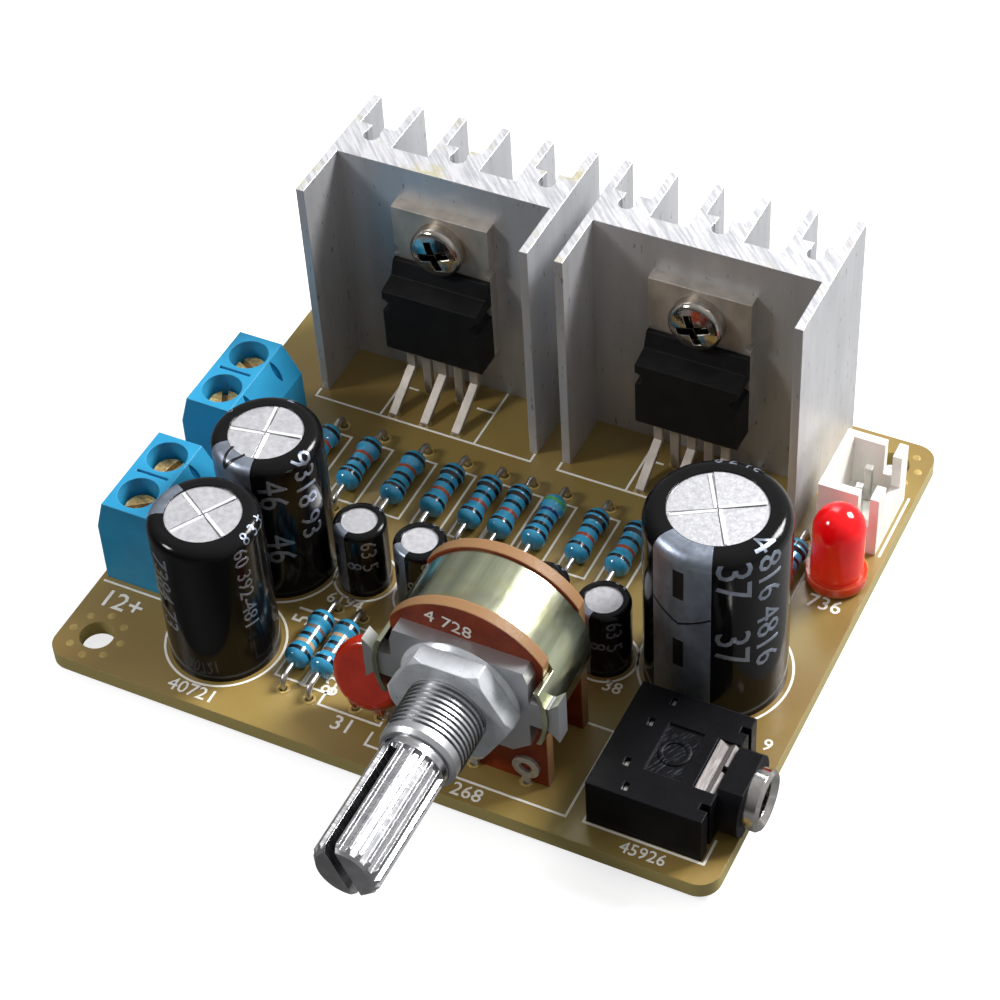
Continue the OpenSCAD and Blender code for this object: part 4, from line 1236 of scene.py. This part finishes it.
@dataclass
class Capacitors:
    """Electrolytic capacitors with printed sleeves and scored tops.

    Attributes:
        proud: Height of the print over the sleeve.
        shoulder: Radius of the sleeve's rounded rim, as a share of the diameter.
        lip: Radius at which the stripe starts on the top, as a share of the diameter.
        foot: Distance from the stripe's end to the sleeve's.
        vent_r: Radius of the scored top, as a share of the diameter.
        vent_sunk: Depth of the scored top below the sleeve's.
        large: Print of the three large capacitors.
        small: Print of the small ones.
    """

    proud: float = 0.025
    shoulder: float = 0.1
    lip: float = 0.345
    foot: float = 0.15
    vent_r: float = 0.335
    vent_sunk: float = 0.15
    large: tuple[Can, ...] = (
        Can((150.0, 203.0),
            (Column("7384 73", 246.0, 2.0, 2.4), Column("60 392-481", 338.0, 1.5, 1.4),
             Column("8 3 +", 5.0, 1.2, 0.2, True)),
            ((8.0, 0.96, 0.22),), (4.0,), -31.0),
        Can((222.0, 282.0),
            (Column("46   46", 303.0, 2.6, 1.8), Column("9318 93", 340.0, 2.2, 0.1),
             Column("0", 165.0, 1.2, 0.2, True), Column("7", 88.0, 1.2, 0.2, True)),
            ((-0.6, 0.42, 0.34), (12.5, 0.96, 0.22)), (), 10.0),
        Can((236.0, 288.0),
            (Column("37   37", 305.0, 3.1, 1.2), Column("4816 4816", 335.5, 2.5, -0.6),
             Column("31 7 9", 95.0, 1.3, 0.2, True)),
            ((7.6, 0.96, 0.24),), (4.2, 12.6), 30.0),
    )
    small: Can = Can((215.0, 262.0),
                     (Column("63 5", 315.0, 1.5, 0.9), Column("8", 280.0, 1.4, 3.4),
                      Column("2 5", 70.0, 0.8, 0.1, True)), (), (2.6,))

    def build(self) -> None:
        """Dresses cans, sleeves, bungs and leads, and adds the print and the scored tops."""
        cans = [f"capacitor_{n}_can" for n in (1, 2, 3)]
        sleeves = [f"capacitor_{n}_sleeve" for n in (1, 2, 3)]
        dress(CAN, *cans, "small_capacitor_cans")
        dress(SLEEVE, *sleeves, "small_capacitor_sleeves")
        dress(RUBBER, "capacitor_bungs")
        dress(TIN, "capacitor_leads")
        for number, (node, can) in enumerate(zip(sleeves, self.large), 1):
            low, high = box_mm(node)
            self.sleeve_print(can, low, high).finish(f"capacitor_{number}_print", "board", "can_aluminium",
                                                     [SILVER_INK, DARK_INK])
            self.vent(can, low, high).finish(f"capacitor_{number}_vent", "board", "can_aluminium",
                                             [CAN, COINED_HIGHLIGHT, SCORE_SHADOW], (), 10.0)
        made = Shape()
        for low, high in loose_boxes("small_capacitor_sleeves"):
            made.take(self.sleeve_print(self.small, low, high))
        made.finish("small_capacitor_print", "board", "can_aluminium", [SILVER_INK, DARK_INK])

    def sleeve_print(self, can: Can, low: Vector, high: Vector) -> Shape:
        """Prints a stripe, arrow points, dashes and figures on one sleeve.

        Args:
            can: What is printed.
            low: Lowest corner of the sleeve.
            high: Highest corner of the sleeve.

        Returns:
            The print, in place.
        """
        diameter = high.x - low.x
        radius, shoulder, top = diameter / 2, diameter * self.shoulder, high.z
        made = Shape()
        a, b = (math.radians(v) for v in can.stripe_deg)
        outer = [(diameter * self.lip, top + self.proud)]
        for k in range(7):
            bend = math.pi / 2 * (1 - k / 6)
            outer.append((radius - shoulder + (shoulder + self.proud) * math.cos(bend),
                          top - shoulder + (shoulder + self.proud) * math.sin(bend)))
        outer.append((radius + self.proud, low.z + self.foot))
        made.take(Shape.turned(outer, 14, b - a, a).thickened(self.proud))
        middle, half = (a + b) / 2, (b - a) / 2 * radius
        for down, share, width in can.chevrons:
            point = down + half * max(0.45, 1.2 * (1 - share))
            for side in (-1, 1):
                bar = Shape.bar((down, side * half * share, point, 0.0), width, 0.0, 0.05)
                bar.sliced((0, 1, 0), 0.3).sliced((1, 0, 0), 0.25)
                made.take(bar.wrapped(radius, middle, top, shoulder).painted(1))
        for down in can.dashes:
            reach, width = diameter * 0.09, diameter * 0.08
            bar = Shape.bar((down - reach, 0.0, down + reach, 0.0), width, 0.0, 0.05)
            bar.sliced((0, 1, 0), 0.2).sliced((1, 0, 0), 0.4)
            made.take(bar.wrapped(radius, middle, top, shoulder).painted(1))
        for column in can.columns:
            figures = Shape.digits(column.text, column.height, 0.04)
            if column.on_rim:
                figures.placed(Matrix.Rotation(math.pi / 2, 4, "Z"))
            first = min(v.co.x for v in figures.mesh.verts)
            figures.placed(Matrix.Translation((column.start - first, 0, 0.01)))
            figures.sliced((0, 1, 0), 0.35).sliced((1, 0, 0), 0.25)
            made.take(figures.wrapped(radius, math.radians(column.angle_deg), top, shoulder))
        return made.at((low.x + high.x) / 2, (low.y + high.y) / 2)

    def vent(self, can: Can, low: Vector, high: Vector) -> Shape:
        """Makes the four leaves of a scored top, with a cross between them of coined lines painted near white
        as highlight, each with a thin painted shadow beside it.

        Args:
            can: Gives the turn of the cross.
            low: Lowest corner of the sleeve.
            high: Highest corner of the sleeve.

        Returns:
            The top, in place.
        """
        diameter = high.x - low.x
        reach, top = diameter * self.vent_r, high.z - self.vent_sunk
        made = Shape()
        for k in range(4):
            middle = math.radians(can.cross_deg + 45 + 90 * k)
            leaf = Shape.turned([(0.12, 0.05), (reach * 0.5, 0.07), (reach, 0.05)], 12, math.radians(86),
                                middle - math.radians(43)).thickened(0.04)
            lean = Matrix.Rotation(0.008 * (1 + k % 2), 4, (math.cos(middle + k), math.sin(middle + k), 0))
            away = Vector((math.cos(middle), math.sin(middle), 0)) * 0.06
            made.take(leaf.placed(Matrix.Translation(away) @ lean))
            arm = Matrix.Rotation(middle - math.pi / 4, 4, "Z")
            # Each arm: a coined line painted near white as highlight, and a thin grey line of painted shadow
            # beside it
            for side, width, height, ink in ((0.17, 0.32, 0.09, 1), (-0.02, 0.07, 0.1, 2)):
                bar = Shape.bar((0.1, side, reach * 0.93, side), width, 0.03, height)
                made.take(bar.placed(arm).painted(ink))
        return made.at((low.x + high.x) / 2, (low.y + high.y) / 2, top)


@dataclass
class Resistors:
    """Film resistors with a lacquer coat and colour bands, and the dipped disc capacitor.

    Attributes:
        half_length: Half the length of a coat.
        end_radius: Radius of its thick ends.
        waist: Radius of its slim middle.
        dome: Radius of the rounding at each end.
        slim_half: Half the length of the slim middle.
        flare: Length over which the middle widens to an end.
        band_half: Half the width of a band.
        step: Distance between the rings of the mesh.
        clear: Least distance from such a ring to the edge of a band.
        forward: Place and ink of the usual bands.
        special: Place of a resistor with other bands, and those bands.
    """

    half_length: float = 3.15
    end_radius: float = 1.2
    waist: float = 1.0
    dome: float = 0.9
    slim_half: float = 1.15
    flare: float = 0.6
    band_half: float = 0.2
    step: float = 0.15
    clear: float = 0.06
    forward: tuple[tuple[float, Band], ...] = ((-2.1, Band.BLACK), (-1.45, Band.BLACK), (-0.4, Band.BLACK),
                                               (0.7, Band.RED), (2.1, Band.BLACK))
    special: tuple[tuple[float, float, tuple[tuple[float, Band], ...]], ...] = (
        (2.6, 3.4, ((-2.1, Band.BLACK), (-1.0, Band.BLACK), (-0.1, Band.BLACK), (0.9, Band.NAVY),
                    (2.1, Band.GREEN))),
        (-10.4, -17.9, ((-2.1, Band.BLACK), (-1.0, Band.TAN), (-0.2, Band.BLACK), (0.8, Band.GREY),
                        (2.1, Band.BLACK))),
        (-7.75, -18.0, ((-2.1, Band.BLACK), (-1.0, Band.GREY), (-0.1, Band.BLACK), (0.9, Band.TAN),
                        (2.1, Band.BLACK))))

    def build(self) -> None:
        """Makes the coats with their bands and dresses leads and disc."""
        made = Shape()
        for low, high in loose_boxes("resistor_bodies"):
            middle = (low + high) / 2
            lay = Matrix.Rotation(-math.pi / 2, 4, "X")
            made.take(self.coat(self.bands(middle)).placed(Matrix.Translation(middle) @ lay))
        made.finish("resistor_coats", "board", "blue_lacquer", [LACQUER, *BAND_INKS], ("resistor_bodies",))
        dress(TIN, "resistor_leads", "disc_capacitor_leads")
        dress(RED_DIP, "disc_capacitor_body")

    def bands(self, middle: Vector) -> list[tuple[float, Band]]:
        """Picks a resistor's bands by its place.

        Args:
            middle: Middle of the resistor.

        Returns:
            Place and ink of each band along Y.
        """
        for x, y, bands in self.special:
            if abs(middle.x - x) < 0.3 and abs(middle.y - y) < 0.5:
                return list(bands)
        if middle.x < -10:
            return list(self.forward)
        return [(-at, ink) for at, ink in self.forward]

    def radius(self, at: float) -> float:
        """Gives the coat's radius, domed at the ends and slim in the middle.

        Args:
            at: Distance from the middle.

        Returns:
            The radius.
        """
        far, straight = abs(at), self.half_length - self.dome
        if far > straight:
            bulge = math.sqrt(max(0.0, self.dome ** 2 - (far - straight) ** 2))
            return self.end_radius - self.dome + bulge
        share = min(1.0, max(0.0, (far - self.slim_half) / self.flare))
        return self.waist + (self.end_radius - self.waist) * share * share * (3 - 2 * share)

    def coat(self, bands: list[tuple[float, Band]]) -> Shape:
        """Spins one coat and inks its bands.

        Args:
            bands: Place and ink of each band.

        Returns:
            The coat, along Z.
        """
        marks = [at + side * self.band_half for at, _ in bands for side in (-1, 1)]
        ends = [self.half_length - self.dome * (1 - math.sin(math.pi / 2 * k / 6)) for k in range(7)]
        count = round((self.half_length - self.dome) / self.step)
        rings = [k * self.step for k in range(-count, count + 1)]
        steady = [at for at in rings if all(abs(at - mark) > self.clear for mark in marks)]
        heights = sorted({round(v, 4) for v in (*marks, *steady, *ends, *(-end for end in ends))})
        profile = [(0.0, heights[0])] + [(self.radius(h), h) for h in heights] + [(0.0, heights[-1])]
        made = Shape.turned(profile, 28)
        for face in made.mesh.faces:
            at = face.calc_center_median().z
            for place, ink in bands:
                if abs(at - place) < self.band_half:
                    face.material_index = ink.value
        return made


@dataclass
class Studio:
    """White floor, soft light from behind on the right, and the camera of the photograph.

    Attributes:
        place_mm: Place of the camera.
        right: Direction to the right in its picture.
        down: Direction down in its picture.
        ahead: Direction in which it looks.
        lens: Its focal length in millimetres.
        bright_side: Direction to the bright side of the sky.
        lamps: Name, place in metres, side in metres and power in watts of each lamp.
        aim: Point in metres at which the lamps point.
    """

    place_mm: Size = (79.532, -144.768, 176.576)
    right: Size = (0.89788, 0.43766, -0.04771)
    down: Size = (0.28338, -0.65748, -0.69815)
    ahead: Size = (-0.33692, 0.61334, -0.71436)
    lens: float = 93.891
    bright_side: Size = (0.45, 0.57, 0.68)
    lamps: tuple[tuple[str, Size, float, float], ...] = (
        ("key_softbox", (0.225, 0.285, 0.35), 0.17, 4.3), ("fill_softbox", (-0.32, -0.22, 0.32), 0.1, 1.05))
    aim: Size = (0.0, 0.0, 0.008)

    def build(self) -> None:
        """Makes the camera, the floor, the sky and the lamps."""
        scene = bpy.context.scene
        scene.view_settings.view_transform = "Standard"
        self.camera(scene)
        self.floor()
        self.sky(scene)
        for lamp in self.lamps:
            self.lamp(*lamp)

    def camera(self, scene: bpy.types.Scene) -> None:
        """Puts the camera at the photograph's angle.

        Args:
            scene: The scene that gets the camera.
        """
        eye = bpy.data.cameras.new("photo_camera")
        eye.lens, eye.sensor_width, eye.clip_start = self.lens, 36.0, 0.01
        holder = bpy.data.objects.new("photo_camera", eye)
        columns = [Vector(self.right), -Vector(self.down), -Vector(self.ahead), Vector(self.place_mm) * MM]
        holder.matrix_world = Matrix([[c[row] for c in columns] for row in range(3)] + [[0, 0, 0, 1]])
        scene.collection.objects.link(holder)
        scene.camera = holder

    def shown(self, tree: Tree) -> Socket:
        """Gives a socket that is one where the camera itself looks at the background."""
        return add(tree, "LightPath").outputs["Is Camera Ray"]

    def floor(self) -> None:
        """Lays a white floor that keeps the part's shadow and can be looked through from below."""
        made = bmesh.new()
        bmesh.ops.create_grid(made, x_segments=2, y_segments=2, size=3.0,
                              matrix=Matrix.Translation((0, 0, CAD_BOX[0][2] - 0.00002)))
        block = bpy.data.meshes.new("floor")
        made.to_mesh(block)
        made.free()
        surface = bpy.data.materials.new("white_studio_floor")
        surface.use_nodes = True
        tree = surface.node_tree
        tree.nodes.clear()
        across = add(tree, "VectorMath", {0: add(tree, "TexCoord").outputs["Object"], 1: self.bright_side},
                     operation="DOT_PRODUCT")
        # The part mirrors a floor that is lighter toward the main lamp
        tone = over(tree, "#626262", "#a6a6a6", across.outputs["Value"], 0.0, 0.035)
        dim = add(tree, "BsdfDiffuse", {"Color": tone})
        matt = add(tree, "BsdfDiffuse", {"Color": linear("#bcbcbc")})
        glow = add(tree, "Emission", {"Color": linear("#ffffff"), "Strength": 0.75})
        lit = add(tree, "AddShader", {0: matt.outputs[0], 1: glow.outputs[0]})
        both = add(tree, "MixShader", {0: self.shown(tree), 1: dim.outputs[0], 2: lit.outputs[0]})
        below = add(tree, "NewGeometry").outputs["Backfacing"]
        clear = add(tree, "BsdfTransparent")
        open_below = add(tree, "MixShader", {0: below, 1: both.outputs[0], 2: clear.outputs[0]})
        add(tree, "OutputMaterial", {"Surface": open_below.outputs[0]})
        block.materials.append(surface)
        holder = bpy.data.objects.new("floor", block)
        bpy.context.scene.collection.objects.link(holder)

    def sky(self, scene: bpy.types.Scene) -> None:
        """Makes a sky that is white to the camera, and brightest behind the part on the right.

        Args:
            scene: The scene that gets the sky.
        """
        world = bpy.data.worlds.new("soft_white_sky")
        scene.world = world
        world.use_nodes = True
        tree = world.node_tree
        tree.nodes.clear()
        toward = add(tree, "VectorMath", {0: add(tree, "TexCoord").outputs["Object"], 1: self.bright_side},
                     operation="DOT_PRODUCT")
        room = add(tree, "MapRange", {"Value": toward.outputs["Value"], "From Min": -0.5, "From Max": 0.95,
                                      "To Min": 0.07, "To Max": 0.62})
        strength = add(tree, "Mix", {0: self.shown(tree), 2: room.outputs[0], 3: 1.0})
        sky = add(tree, "Background", {"Color": linear("#ffffff"), "Strength": strength.outputs[0]})
        add(tree, "OutputWorld", {"Surface": sky.outputs[0]})

    def lamp(self, name: str, place: Size, size: float, power: float) -> None:
        """Hangs a soft lamp that points at the part.

        Args:
            name: Name of the lamp.
            place: Where it hangs, in metres.
            size: Length of its square's side.
            power: Its power in watts.
        """
        light = bpy.data.lights.new(name, "AREA")
        light.shape, light.size, light.energy = "SQUARE", size, power
        holder = bpy.data.objects.new(name, light)
        aim = Vector(self.aim) - Vector(place)
        holder.matrix_world = Matrix.Translation(place) @ aim.to_track_quat("-Z", "Y").to_matrix().to_4x4()
        bpy.context.scene.collection.objects.link(holder)


def main() -> None:
    """Builds the studio and every sub-assembly."""
    logging.basicConfig(level=logging.INFO, format="%(name)s: %(message)s")
    for part in (Studio(), CircuitBoard(), PowerStage(), Terminals(), VolumeControl(), PlugSocket(),
                 HeaderAndLamp(), Capacitors(), Resistors()):
        LOG.info("building %s", type(part).__name__)
        part.build()


if __name__ == "__main__":
    main()
